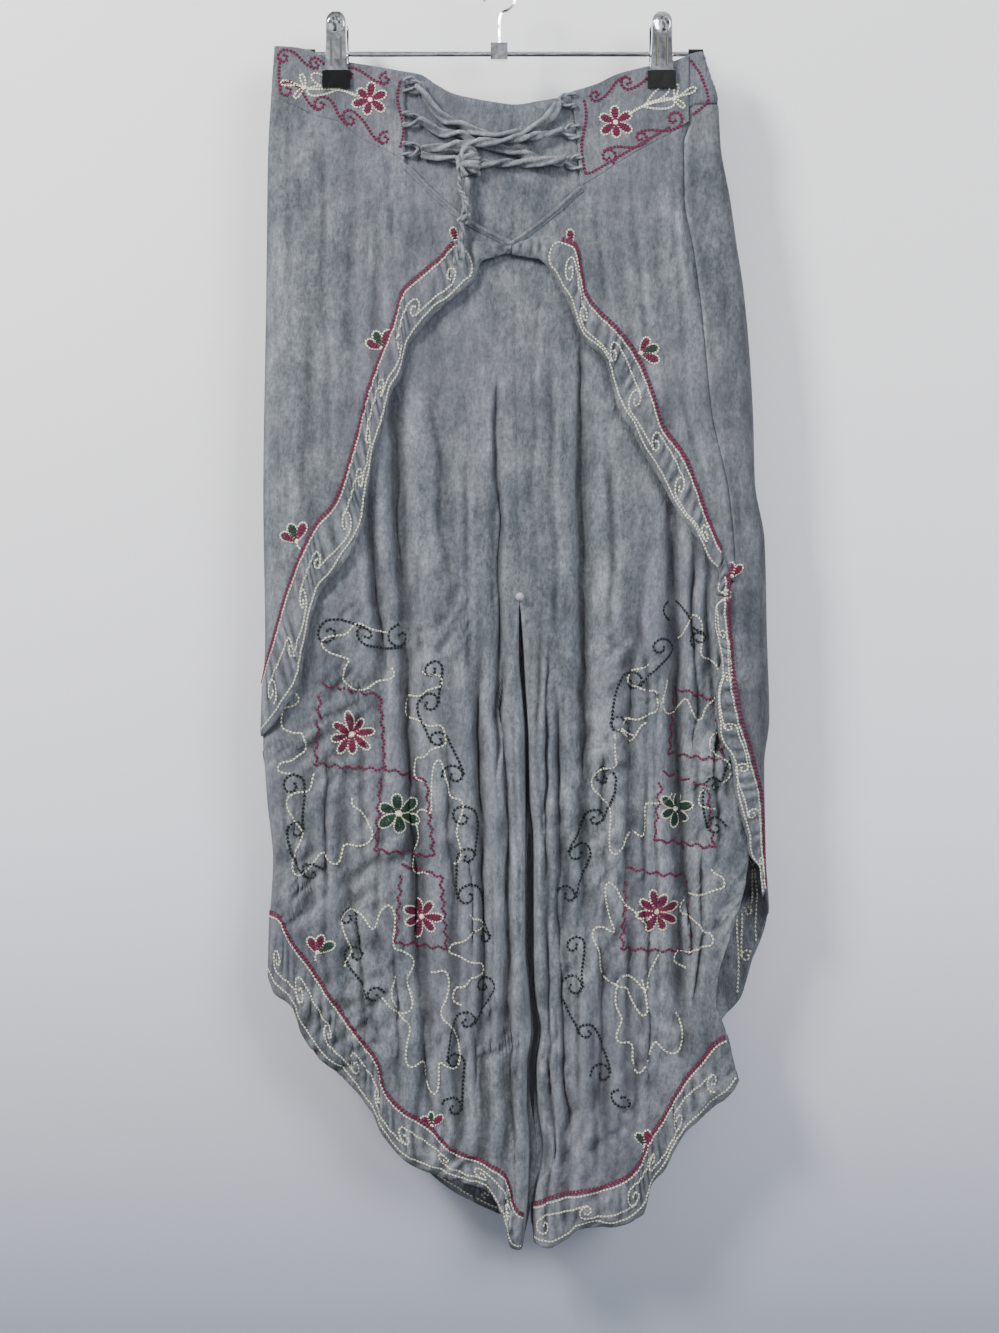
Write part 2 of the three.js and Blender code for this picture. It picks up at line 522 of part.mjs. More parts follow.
// Elasticated band: one shirred strip round the back, turned to the front on the right
function addWaistband() {
  const middleGap = SEAM / 2;
  const leftY = (x, z) => Math.max(backY(x, z, true), middleAt(x, z) + middleGap);
  const lappedY = (x, z) => overlayY(x, z) + LAP * smooth(0, 14, xAt(SIDE_RIGHT, z) - x);
  const extremes = (z) => (x) => (x < 0 ? xAt(SIDE_LEFT, z) : xAt(SIDE_RIGHT, z));
  const points = [];
  const normals = [];
  for (let k = 0; k <= 2 * GATHERS; k += 1) {
    const share = k / (2 * GATHERS);
    const ripple = (k % 2 === 0 ? 0.5 : -0.5) * GATHER_DEPTH;
    const column = { points: [], normals: [] };
    for (const row of [0, 1]) {
      const levelZ = row === 0 ? -64 : -64 - WAISTBAND_HEIGHT;
      const left = xAt(SIDE_LEFT, levelZ);
      const right = xAt(SIDE_RIGHT, levelZ);
      const front = xAt(SIDE_SEAM_RIGHT, levelZ) + SEAM / 2;
      const along = share * (right - left + right - front);
      const onFront = along > right - left;
      const x = onFront ? 2 * right - left - along : left + along;
      const z = zAt(WAIST_BACK, x) - (row === 0 ? 0 : WAISTBAND_HEIGHT);
      const heightY = onFront ? lappedY : leftY;
      const point = new THREE.Vector3(x, heightY(x, z), z);
      const extremeX = () => extremes(levelZ)(x);
      const normal = normalOf(heightY, point, onFront ? -1 : 1, extremeX);
      column.points.push(point.addScaledVector(normal, ripple));
      column.normals.push(normal);
    }
    points.push(column.points);
    normals.push(column.normals);
  }
  add('back_waistband', wallOf(points, normals, CLOTH), fabric(GREY_DEEP));
}

// Round cord or wire along a smooth path
function tubeAlong(points, diameter, sides, steps) {
  const path = new THREE.CatmullRomCurve3(points, false, 'centripetal');
  const section = new THREE.Shape();
  for (let k = 0; k < sides; k += 1) {
    const angle = (2 * Math.PI * k) / sides;
    const x = 0.5 * diameter * Math.cos(angle);
    const y = 0.5 * diameter * Math.sin(angle);
    if (k === 0) section.moveTo(x, y);
    else section.lineTo(x, y);
  }
  section.closePath();
  return new THREE.ExtrudeGeometry(section, { steps, extrudePath: path, curveSegments: 1 });
}
const place = (x, y, z) => new THREE.Vector3(x, y, z);

// Lacing: loops on the yokes' inner edges, the crossing rows, the knot and its hanging end
const LOOP_HEIGHT = 9;
const LOOP_REACH = 11;
const LOOPS = [
  { name: 'left_top', side: 1, x: -79, z: -92 },
  { name: 'left_middle', side: 1, x: -79, z: -121.5 },
  { name: 'left_bottom', side: 1, x: -79, z: -147 },
  { name: 'right_top', side: -1, x: 61.5, z: -105.5 },
  { name: 'right_middle', side: -1, x: 65, z: -132 },
  { name: 'right_bottom', side: -1, x: 67, z: -158.5 },
];
const LACE_REST_Y = -16.6;       // rows that lie on the front
const LACE_ROWS = [
  { name: 'lace_row_1', path: table(['x', 'z', 'y'],
    [-66, -97, -16.6], [-58, -110, -16.6], [-47, -121, -16.6], [-33, -126.5, -16.6],
    [-18, -133, -16.6], [0, -136, -16.6], [20, -133, -16.6], [35, -126, -16.6],
    [44, -118, -16.6], [50, -109, -16.6]) },
  { name: 'lace_row_2', path: table(['x', 'z', 'y'],
    [-67, -124, -16.6], [-56, -130, -16.6], [-48, -134, -16.6], [-38, -133.5, -16.6],
    [-20, -141, -16.6], [0, -146.5, -16.6], [20, -152, -16.6], [34, -155, -16.6],
    [53, -160, -16.6]) },
  { name: 'lace_row_3', path: table(['x', 'z', 'y'],
    [-66, -148, -17], [-54, -147, -20], [-40, -145, -21.6], [-20, -143.5, -21.6],
    [0, -141.5, -21.6], [18, -139, -21.6], [34, -136.5, -20], [52, -131, -17]) },
  { name: 'lace_row_4', path: table(['x', 'z', 'y'],
    [-64, -153, -17], [-56, -153.5, -16.6], [-46, -154.5, -16.8], [-38, -156, -17.2]) },
  { name: 'lace_row_5', path: table(['x', 'z', 'y'],
    [-15, -160, -17.2], [0, -159.5, -16.8], [17, -159, -16.6], [32, -159.5, -19.5],
    [45, -158.5, -21.6], [56, -156, -20]) },
];
const KNOT = { x: -26, y: -19, z: -160 };
const TAIL_PATH = [
  { x: -26.8, y: -19.2, z: -172.4 }, { x: -28.6, y: -20.4, z: -183 }, { x: -29.6, y: -21, z: -193 },
  { x: -30, y: -22, z: -203 }, { x: -31, y: -24, z: -213 }, { x: -32, y: -26, z: -224 },
  { x: -32.5, y: -27.5, z: -234 }, { x: -32.8, y: -28.5, z: -244 },
];

function addLacing() {
  for (const loop of LOOPS) {
    const half = LOOP_HEIGHT / 2;
    const y = LACE_REST_Y + 0.6;
    const reach = loop.side * LOOP_REACH;
    const rootX = loop.x - 4 * loop.side;
    const rootY = overlayY(rootX, loop.z) - CLOTH / 2 - LOOP_DIAMETER / 2 - 0.5;
    add(`lace_loop_${loop.name}`, tubeAlong([
      place(rootX, rootY, loop.z + half), place(loop.x + 0.6 * reach, y, loop.z + half),
      place(loop.x + reach, y, loop.z), place(loop.x + 0.6 * reach, y, loop.z - half),
      place(rootX, rootY, loop.z - half),
    ], LOOP_DIAMETER, 6, 8), fabric(GREY_DEEP));
  }
  for (const row of LACE_ROWS) {
    const points = row.path.map((p) => place(p.x, p.y, p.z));
    add(row.name, tubeAlong(points, LACE_DIAMETER, 6, 12), fabric(GREY));
  }
  const knot = new THREE.SphereGeometry(1, 14, 10);
  knot.scale(10, 6.5, 12);
  knot.translate(KNOT.x, KNOT.y, KNOT.z);
  add('lace_knot', knot, fabric(GREY));
  const tail = TAIL_PATH.map((p) => place(p.x, p.y, p.z));
  add('lace_tail', tubeAlong(tail, 5.4, 8, 20), fabric(GREY));
}

// Hanger: rod with end caps, a strap that clasps it, the hook and two sprung clips
function rodAlongX(from, to, diameter, sides) {
  const rod = new THREE.CylinderGeometry(diameter / 2, diameter / 2, to - from, sides);
  rod.rotateZ(Math.PI / 2);
  rod.translate((from + to) / 2, 0, ROD_Z);
  return rod;
}

function addHanger() {
  add('hanger_rod', rodAlongX(ROD_LEFT, ROD_RIGHT, ROD_DIAMETER, 16), metal());
  add('rod_cap_left', rodAlongX(ROD_LEFT - CAP_LENGTH, ROD_LEFT - 0.2, CAP_DIAMETER, 16), rubber());
  add('rod_cap_right', rodAlongX(ROD_RIGHT + 0.2, ROD_RIGHT + CAP_LENGTH, CAP_DIAMETER, 16), rubber());

  const strap = new THREE.Shape();
  const strapHalf = 4;
  const strapTop = 9;
  const strapLow = -5.5;
  strap.moveTo(-strapHalf, strapLow);
  strap.lineTo(strapHalf, strapLow);
  strap.lineTo(strapHalf, strapTop);
  strap.lineTo(-strapHalf, strapTop);
  strap.closePath();
  const bore = new THREE.Path();
  bore.absarc(0, 0, ROD_DIAMETER / 2 + 0.3, 0, 2 * Math.PI, true);
  strap.holes.push(bore);
  const clasp = new THREE.ExtrudeGeometry(strap, { depth: 14.5, bevelEnabled: false, curveSegments: 16 });
  clasp.rotateX(Math.PI / 2);
  clasp.rotateZ(Math.PI / 2);
  clasp.translate(-7.6, 0, ROD_Z);
  add('hook_bracket', clasp, metal());

  const centreZ = HOOK_WIRE / 2 - HOOK_RADIUS;
  const hook = [place(0, 0, ROD_Z + strapTop + 0.3), place(0, 0, -42), place(0.2, 0, -33)];
  for (let k = 0; k <= 14; k += 1) {
    const angle = THREE.MathUtils.degToRad(-80 + 20 * k);
    hook.push(place(HOOK_RADIUS * Math.cos(angle), 0, centreZ + HOOK_RADIUS * Math.sin(angle)));
  }
  add('hanger_hook', tubeAlong(hook, HOOK_WIRE, 8, 36), metal());
}

// One clip: two pressed plates, their rubber pads on both sides of the cloth, and the spring
const PLATE = 1;
const CLIP_PROFILE = table(['z', 'front', 'back', 'half'],
  [-31, -19, 15, 3.2], [-33.2, -18.9, 14.6, 6.4], [-37, -18.6, 13.7, 8.4], [-52, -17.2, 9.5, 8.6],
  [-70, -15.4, 4.2, 9.4],
  [-79.6, -14.6, -0.4, 10.2]);
const CLOTH_FRONT_Y = STACK_FRONT - CLOTH / 2;
const CLOTH_BACK_Y = STACK_BACK + (CLOTH + GATHER_DEPTH) / 2;
const PAD_DEPTH = 2.8;

function addPlate(name, centreX, column, facing) {
  const stations = [-1, -0.97, -0.35, 0.35, 0.97, 1];
  const flange = [2, 0, 0, 0, 0, 2];
  const rows = CLIP_PROFILE.slice().reverse();
  const points = stations.map((s, i) => rows.map((row) => (
    place(centreX + s * row.half, row[column] - facing * flange[i], row.z))));
  const normals = points.map((one, i) => one.map(() => {
    if (i === 0) return place(-1, 0, 0);
    if (i === stations.length - 1) return place(1, 0, 0);
    return place(0, facing, 0);
  }));
  add(name, wallOf(points, normals, PLATE), metal());
}

function addPad(name, centreX, nearY, facing) {
  const pad = new THREE.BoxGeometry(PAD_WIDTH, PAD_DEPTH, JAW_PAD_TOP_Z - JAW_TIP_Z);
  const clear = 0.3 + PAD_DEPTH / 2;
  pad.translate(centreX, nearY + facing * clear, (JAW_PAD_TOP_Z + JAW_TIP_Z) / 2);
  add(name, pad, rubber());
}

function addClip(side, centreX) {
  addPlate(`clip_${side}_front_plate`, centreX, 'front', -1);
  addPlate(`clip_${side}_back_plate`, centreX, 'back', 1);
  addPad(`clip_${side}_front_pad`, centreX, CLOTH_FRONT_Y, -1);
  addPad(`clip_${side}_back_pad`, centreX, CLOTH_BACK_Y, 1);
  const spring = [
    place(centreX, -15.4, -52), place(centreX, -11, -47.5), place(centreX, -3, -45.5),
    place(centreX, 4, -47), place(centreX, 8, -51),
  ];
  add(`clip_${side}_spring`, tubeAlong(spring, 2, 6, 10), metal());
}

function addCrotchBead() {
  const bead = new THREE.SphereGeometry(BEAD_RADIUS, 12, 8);
  const seatY = underY(15, CROTCH_Z + 6, true) - CLOTH / 2;
  bead.translate(17.2, seatY - BEAD_RADIUS - 0.3, CROTCH_Z + 6);
  add('crotch_bead', bead, new THREE.MeshStandardMaterial({ color: BEAD, roughness: 0.8 }));
}

addOverlays();
addFrontPanels();
addBackPanels();
addWaistband();
addLacing();
addCrotchBead();
addHanger();
addClip('left', CLIP_LEFT_X);
addClip('right', CLIP_RIGHT_X);

export default garment;
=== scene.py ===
"""Looks of the wide-leg trousers on a clip hanger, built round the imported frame.

Lengths in the tables are millimetres, as in the part's source, and MM turns them into metres.
X is to the right of a viewer in front, Z is up, and the front of the trousers faces -Y.
"""
import math

import bpy
import numpy as np
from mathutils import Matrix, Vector


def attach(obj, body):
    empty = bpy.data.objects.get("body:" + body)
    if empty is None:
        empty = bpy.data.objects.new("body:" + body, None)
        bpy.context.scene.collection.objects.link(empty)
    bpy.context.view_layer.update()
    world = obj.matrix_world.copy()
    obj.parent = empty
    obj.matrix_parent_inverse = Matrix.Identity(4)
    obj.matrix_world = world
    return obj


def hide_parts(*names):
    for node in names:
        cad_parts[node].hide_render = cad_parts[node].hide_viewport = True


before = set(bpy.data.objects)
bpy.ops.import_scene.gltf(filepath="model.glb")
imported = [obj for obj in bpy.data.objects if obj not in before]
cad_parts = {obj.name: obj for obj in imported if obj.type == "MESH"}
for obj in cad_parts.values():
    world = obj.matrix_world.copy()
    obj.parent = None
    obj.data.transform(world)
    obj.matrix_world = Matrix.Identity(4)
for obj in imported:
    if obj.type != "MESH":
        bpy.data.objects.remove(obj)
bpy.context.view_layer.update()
MM = 0.001
BODY = "root"

# Camera: level, straight in front, with the photo's framing
CAMERA_AT = (0.0, -1.9, -0.5883)
LENS = 59.7
scene = bpy.context.scene
camera_data = bpy.data.cameras.new("camera")
camera_data.lens = LENS
camera_data.sensor_width = 36.0
camera_data.sensor_fit = "AUTO"
camera_data.clip_start = 0.05
camera = bpy.data.objects.new("camera", camera_data)
camera.location = CAMERA_AT
camera.rotation_euler = (math.radians(90.0), 0.0, 0.0)
scene.collection.objects.link(camera)
scene.camera = camera


# Materials
def new_material(name):
    material = bpy.data.materials.new(name)
    material.use_nodes = True
    return material, material.node_tree.nodes, material.node_tree.links


def ramp(nodes, links, share, stops):
    """Colour for a share from 0 to 1, from stops of position and colour."""
    node = nodes.new("ShaderNodeValToRGB")
    while len(node.color_ramp.elements) < len(stops):
        node.color_ramp.elements.new(0.5)
    for element, (position, colour) in zip(node.color_ramp.elements, stops):
        element.position = position
        element.color = (*colour, 1.0)
    links.new(share, node.inputs["Fac"])
    return node.outputs["Color"]


def noise_share(nodes, links, coordinates, scale, stretch=(1.0, 1.0, 1.0), detail=4.0, roughness=0.55):
    mapping = nodes.new("ShaderNodeMapping")
    mapping.inputs["Scale"].default_value = stretch
    texture = nodes.new("ShaderNodeTexNoise")
    texture.inputs["Scale"].default_value = scale
    texture.inputs["Detail"].default_value = detail
    texture.inputs["Roughness"].default_value = roughness
    links.new(coordinates, mapping.inputs["Vector"])
    links.new(mapping.outputs["Vector"], texture.inputs["Vector"])
    return texture.outputs["Fac"]


def mixed(nodes, links, blend, factor, first, second):
    node = nodes.new("ShaderNodeMix")
    node.data_type = "RGBA"
    node.blend_type = blend
    for socket, value in (("Factor", factor), ("A", first), ("B", second)):
        if isinstance(value, float):
            node.inputs[socket].default_value = value
        elif isinstance(value, tuple):
            node.inputs[socket].default_value = (*value, 1.0)
        else:
            links.new(value, node.inputs[socket])
    return node.outputs["Result"]


def weighted(nodes, links, source, weight, added):
    """Source times weight, plus another height."""
    node = nodes.new("ShaderNodeMath")
    node.operation = "MULTIPLY_ADD"
    node.inputs[1].default_value = weight
    links.new(source, node.inputs[0])
    links.new(added, node.inputs[2])
    return node.outputs["Value"]


def add_bump(nodes, links, height, strength, distance):
    bump = nodes.new("ShaderNodeBump")
    bump.inputs["Strength"].default_value = strength
    bump.inputs["Distance"].default_value = distance
    links.new(height, bump.inputs["Height"])
    links.new(bump.outputs["Normal"], nodes["Principled BSDF"].inputs["Normal"])


def scaled(nodes, links, source, low, high, start=0.0, end=1.0):
    """Number from start to end carried to low to high."""
    node = nodes.new("ShaderNodeMapRange")
    node.inputs["From Min"].default_value = start
    node.inputs["From Max"].default_value = end
    node.inputs["To Min"].default_value = low
    node.inputs["To Max"].default_value = high
    links.new(source, node.inputs["Value"])
    return node.outputs["Result"]


def gauze(name, dark, middle, light, tint, tint_share=0.35):
    """Stonewashed crinkled gauze: mottled, felted, paler on its ridges and darker in its creases, partly from
    its stonewash wear and partly as painted highlight and painted shade.
    """
    material, nodes, links = new_material(name)
    shader = nodes["Principled BSDF"]
    place = nodes.new("ShaderNodeTexCoord").outputs["Object"]
    mottle = noise_share(nodes, links, place, 34.0, (1.0, 1.0, 0.62), 7.0, 0.70)
    colour = ramp(nodes, links, mottle, [(0.35, dark), (0.50, middle), (0.65, light)])
    grain = noise_share(nodes, links, place, 380.0, (1.0, 1.0, 0.55), 4.0, 0.75)
    speckle = scaled(nodes, links, grain, 0.56, 1.46, 0.32, 0.68)
    colour = mixed(nodes, links, "MULTIPLY", 0.85, colour, speckle)
    wisp = noise_share(nodes, links, place, 150.0, (1.0, 1.0, 0.22), 4.0, 0.65)
    colour = mixed(nodes, links, "MULTIPLY", 0.9, colour, scaled(nodes, links, wisp, 0.84, 1.16, 0.30, 0.70))
    cast = noise_share(nodes, links, place, 7.0, (1.0, 1.0, 0.7), 2.0)
    cast_share = ramp(nodes, links, cast, [(0.42, (0, 0, 0)), (0.66, (tint_share, tint_share, tint_share))])
    colour = mixed(nodes, links, "MIX", cast_share, colour, tint)
    # Per-point attribute: painted shade in the creases and painted highlight on the ridges, with the
    # stonewash wear.
    wear_and_shade = nodes.new("ShaderNodeAttribute")
    wear_and_shade.attribute_name = "wear_and_shade"
    worn_and_shaded = scaled(nodes, links, wear_and_shade.outputs["Fac"], 0.54, 1.36, -1.0, 1.0)
    links.new(mixed(nodes, links, "MULTIPLY", 1.0, colour, worn_and_shaded), shader.inputs["Base Color"])
    shader.inputs["Roughness"].default_value = 0.88
    shader.inputs["Sheen Weight"].default_value = 0.15
    shader.inputs["Sheen Roughness"].default_value = 0.55
    shader.inputs["Specular IOR Level"].default_value = 0.22
    crepe = noise_share(nodes, links, place, 290.0, (1.0, 1.0, 0.36), 4.0, 0.66)
    crumple = noise_share(nodes, links, place, 62.0, (1.0, 1.0, 0.55), 3.0, 0.6)
    weave = noise_share(nodes, links, place, 1300.0, (1.0, 1.0, 0.6), 2.0)
    height = weighted(nodes, links, weave, 0.45, weighted(nodes, links, crumple, 2.6, crepe))
    add_bump(nodes, links, height, 0.85, 0.0020)
    return material


def plain(name, colour, roughness, metallic=0.0, grain=0.0, depth=0.0, sheen=0.0):
    """One colour and roughness that vary a little, with a fine grain so many to a metre and so deep."""
    material, nodes, links = new_material(name)
    shader = nodes["Principled BSDF"]
    place = nodes.new("ShaderNodeTexCoord").outputs["Object"]
    vary = noise_share(nodes, links, place, 60.0)
    low = tuple(0.86 * c for c in colour)
    high = tuple(min(1.12 * c, 1.0) for c in colour)
    links.new(ramp(nodes, links, vary, [(0.35, low), (0.65, high)]), shader.inputs["Base Color"])
    rough = scaled(nodes, links, vary, 0.85 * roughness, min(1.2 * roughness, 1.0))
    links.new(rough, shader.inputs["Roughness"])
    shader.inputs["Metallic"].default_value = metallic
    shader.inputs["Sheen Weight"].default_value = sheen
    if grain:
        add_bump(nodes, links, noise_share(nodes, links, place, grain, detail=3.0), 0.5, depth)
    return material


GAUZE = gauze("gauze", (0.085, 0.097, 0.109), (0.136, 0.149, 0.162), (0.212, 0.228, 0.244),
              (0.140, 0.134, 0.170))
LACE = gauze("lace", (0.118, 0.131, 0.146), (0.172, 0.187, 0.202), (0.268, 0.285, 0.302),
             (0.177, 0.174, 0.204), 0.2)
GAUZE_SHIRRED = gauze("shirred_gauze", (0.092, 0.108, 0.124), (0.138, 0.156, 0.174),
                      (0.200, 0.221, 0.240), (0.130, 0.134, 0.170))
THREAD = {
    colour: plain(f"{colour}_thread", paint, roughness, grain=900.0, depth=0.0002, sheen=sheen)
    for colour, paint, roughness, sheen in (
        ("burgundy", (0.140, 0.003, 0.042), 0.66, 0.05), ("cream", (0.920, 0.900, 0.700), 0.60, 0.15),
        ("green", (0.010, 0.044, 0.024), 0.68, 0.04), ("pine", (0.004, 0.010, 0.008), 0.80, 0.0))}
CHROME = plain("chrome", (0.86, 0.87, 0.89), 0.12, 1.0, 30.0, 0.0010)
# Dark metal for the clip's pressed grooves: painted shade in the recesses.
GROOVE_SHADE = plain("clip_groove_shade", (0.10, 0.10, 0.09), 0.35, 0.6)
RUBBER = plain("rubber", (0.006, 0.006, 0.007), 0.20, 0.0, 90.0, 0.0006)
BEAD = plain("bead_thread", (0.42, 0.42, 0.45), 0.8, 0.0, 1200.0, 0.0003, 0.3)


# Lines, directions and meshes that all pieces share
def travelled(points):
    """Length gone at each point of a polyline."""
    steps = np.linalg.norm(np.diff(points, axis=0), axis=1)
    return np.concatenate([[0.0], np.cumsum(steps)])


def along_line(at, length, values):
    """Each column of values, read at given lengths."""
    return np.stack([np.interp(at, length, column) for column in values.T], axis=1)


def resample(points, count):
    """Points at equal steps along a polyline."""
    length = travelled(points)
    return along_line(np.linspace(0.0, length[-1], count), length, points)


def soften(line, rounds):
    """Draws the corners of a line in, with its ends kept."""
    for _ in range(rounds):
        line[1:-1] = 0.25 * line[:-2] + 0.5 * line[1:-1] + 0.25 * line[2:]
    return line


def unit(vectors):
    return vectors / np.maximum(np.linalg.norm(vectors, axis=-1, keepdims=True), 1e-9)


def add_mesh(name, verts, faces, material, wear_and_shade=None):
    """Smooth object with one material, from points in metres, carried by the part's one body."""
    mesh = bpy.data.meshes.new(name)
    mesh.from_pydata(verts, [], faces)
    mesh.polygons.foreach_set("use_smooth", np.ones(len(mesh.polygons), dtype=bool))
    # Per-point painted shade and painted highlight, with the cloth's wear, read by the gauze materials.
    if wear_and_shade is not None:
        layer = mesh.attributes.new("wear_and_shade", "FLOAT", "POINT")
        layer.data.foreach_set("value", np.asarray(wear_and_shade, dtype=np.float32))
    mesh.materials.append(material)
    mesh.update()
    piece = bpy.data.objects.new(name, mesh)
    scene.collection.objects.link(piece)
    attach(piece, BODY)
    return piece


def mesh_object(name, verts, faces, material, wear_and_shade=None):
    """The same from points in millimetres."""
    return add_mesh(name, (np.asarray(verts) * MM).tolist(), np.asarray(faces).tolist(), material, wear_and_shade)


# Free end of the lace: its route in metres, as in the part's source, and its real size
TAIL_ROUTE = [
    (-0.0268, -0.0192, -0.1724), (-0.0286, -0.0204, -0.183), (-0.0296, -0.021, -0.193),
    (-0.030, -0.022, -0.203), (-0.031, -0.024, -0.213), (-0.032, -0.026, -0.224),
    (-0.0325, -0.0275, -0.234), (-0.0328, -0.0285, -0.244)]
TAIL_DIAMETER = 0.0054


def lace_mesh(name, route, diameter, turns_per_m, flat, seed, sides=16, step=0.0011):
    """Strip of gauze twisted into a cord: a lobed section that turns as it goes along its route."""
    route = np.array(route, dtype=float)
    length = travelled(route)
    count = max(int(length[-1] / step), 6)
    at = np.linspace(0.0, length[-1], count)
    line = soften(along_line(at, length, route), max(2, int(0.004 / step)))
    tangent = unit(np.gradient(line, axis=0))
    side = unit(np.cross(tangent, np.array([0.12, -1.0, 0.07])))
    front = np.cross(side, tangent)
    angle = np.linspace(0.0, 2 * math.pi, sides, endpoint=False)[None, :]
    turn = (2 * math.pi * turns_per_m * at + 0.5 * np.sin(at * 120.0 + seed) + seed)[:, None]
    lobes = (1.0 + flat * np.cos(2 * (angle - turn)) + 0.10 * np.cos(3 * (angle - 1.3 * turn) + seed)
             + 0.07 * np.cos(6 * (angle - 0.9 * turn) + 5.0 * np.sin(at * 90.0)[:, None]))
    swell = (1.0 + 0.09 * np.sin(at * 190.0 + 2 * seed) + 0.03 * np.sin(at * 520.0))[:, None]
    taper = np.minimum(1.0, 0.55 + np.minimum(at, at[-1] - at) / (0.5 * diameter))[:, None]
    radius = 0.47 * diameter * lobes * swell * taper
    verts = (line[:, None, :] + side[:, None, :] * (radius * np.cos(angle))[..., None]
             + front[:, None, :] * (radius * np.sin(angle))[..., None])
    ring = (np.arange(count - 1) * sides)[:, None]
    here = np.arange(sides)[None, :]
    following = (here + 1) % sides
    quads = np.stack([ring + here, ring + following, ring + sides + following, ring + sides + here], axis=2)
    caps = [list(range(sides - 1, -1, -1)), list(range((count - 1) * sides, count * sides))]
    # Painted highlight where the twisted lobes bulge and painted shade in the grooves between them.
    wear_and_shade = np.clip((lobes * swell - 1.0) / 0.22, -1.0, 1.0)
    piece = add_mesh(name, verts.reshape(-1, 3).tolist(), quads.reshape(-1, 4).tolist() + caps, LACE,
                     wear_and_shade.ravel())
    return piece


def joined(name, pieces):
    """One piece from several tubes that belong to one knot."""
    with bpy.context.temp_override(active_object=pieces[0], selected_editable_objects=pieces):
        bpy.ops.object.join()
    pieces[0].name = name
    return pieces[0]


def make_tail():
    """The free end: two strands that twist into one, a second knot and two frayed tips."""
    tail = lace_mesh("lace_tail_cord", TAIL_ROUTE, TAIL_DIAMETER, 26.0, 0.28, 0.6)
    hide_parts("lace_tail")
    strand = lace_mesh("lace_tail_strand", [
        (-0.0330, -0.0196, -0.1700), (-0.0345, -0.0212, -0.1765), (-0.0340, -0.0224, -0.1830),
        (-0.0305, -0.0250, -0.1890), (-0.0272, -0.0252, -0.1945), (-0.0280, -0.0250, -0.2000),
        (-0.0310, -0.0262, -0.2040)], 0.0036, 90.0, 0.25, 1.7)
    wrap = []
    for k in range(19):
        angle = math.radians(-60 + 27.0 * k)
        wrap.append((-0.0305 + 0.0042 * math.cos(angle), -0.0232 - 0.0036 * math.sin(angle),
                     -0.2052 - 0.00042 * k + 0.0016 * math.cos(angle + 0.7)))
    knot = lace_mesh("lace_second_knot", wrap, 0.0042, 80.0, 0.2, 2.9)
    tip = lace_mesh("lace_second_tip", [
        (-0.0312, -0.0256, -0.2200), (-0.0335, -0.0290, -0.2290), (-0.0362, -0.0300, -0.2390),
        (-0.0376, -0.0305, -0.2480)], 0.0034, 50.0, 0.35, 4.1)


make_tail()


# Tables of outlines, named by their columns
class Table:
    """Rows of numbers whose first column is the key. Reads a column along a smooth curve."""

    def __init__(self, names, *rows):
        ordered = np.array(sorted(rows), dtype=float)
        self.names = names.split()
        self.key = ordered[:, 0]
        self.columns = {name: ordered[:, i] for i, name in enumerate(self.names)}

    def at(self, key, name=None):
        values = self.columns[name or self.names[1]]
        t = np.clip(key, self.key[0], self.key[-1])
        i = np.clip(np.searchsorted(self.key, t) - 1, 0, len(self.key) - 2)
        gap = np.diff(self.key)
        slope = np.diff(values) / gap
        tangent = np.zeros(len(values))
        same = slope[:-1] * slope[1:] > 0
        inner = np.zeros(len(slope) - 1)
        both = slope[:-1][same] + slope[1:][same]
        inner[same] = 2 * slope[:-1][same] * slope[1:][same] / both
        tangent[1:-1] = inner
        tangent[0], tangent[-1] = slope[0], slope[-1]
        h = gap[i]
        s = (t - self.key[i]) / h
        a, b = values[i], values[i + 1]
        return (a * (2 * s**3 - 3 * s**2 + 1) + b * (3 * s**2 - 2 * s**3)
                + h * tangent[i] * (s**3 - 2 * s**2 + s) + h * tangent[i + 1] * (s**3 - s**2))


SIDE_LEFT = Table("z x",
    (-58, -192), (-161, -198), (-273, -199.5), (-445, -202), (-566, -200.5), (-643, -204.5),
    (-669, -202), (-703, -199.5), (-755, -194.5), (-815, -198), (-849, -199), (-1090, -199))
SIDE_RIGHT = Table("z x",
    (-62, 174), (-84, 180.5), (-100, 186), (-144, 189), (-187, 197), (-228, 203), (-260, 208),
    (-316, 213.5), (-376, 217), (-430, 218.5), (-482, 227), (-566, 229), (-633, 231),
    (-673, 226.5), (-709, 227), (-754, 228), (-798, 230.5), (-1090, 230.5))
SIDE_SEAM_RIGHT = Table("z x",
    (-62, 162), (-124, 162), (-140, 157.5), (-187, 157.5), (-232, 165), (-285, 172), (-326, 175.5),
    (-376, 180.5), (-403, 186.5), (-445, 195), (-504, 199.5), (-519, 199.5))
SLIT_EDGE_RIGHT = Table("z x",
    (-519, 198), (-528, 182), (-558, 185), (-582, 188), (-605, 182.5), (-634, 184), (-658, 195),
    (-691, 201), (-720, 208), (-742, 215), (-754, 223), (-797, 227))
FRONT_SIDE_RIGHT = Table("z x",
    (-62, 152), (-144, 152), (-187, 154), (-228, 165), (-316, 190), (-430, 206),
    (-482, 216), (-566, 218), (-633, 219), (-673, 215), (-709, 215), (-745, 213), (-768, 210),
    (-790, 205), (-819, 196), (-848, 187), (-875, 184), (-896, 192), (-922, 198), (-939, 204))
CENTRE_LEFT = Table("z x",
    (-84, 11.2), (-230, 12), (-359, 14), (-535, 17.2), (-578, 17.6), (-652, 22.4), (-700, 22.8),
    (-732, 22.5), (-831, 22.5), (-868, 26), (-901, 27.5), (-930, 24), (-963, 24), (-996, 26),
    (-1055, 24), (-1085, 20))
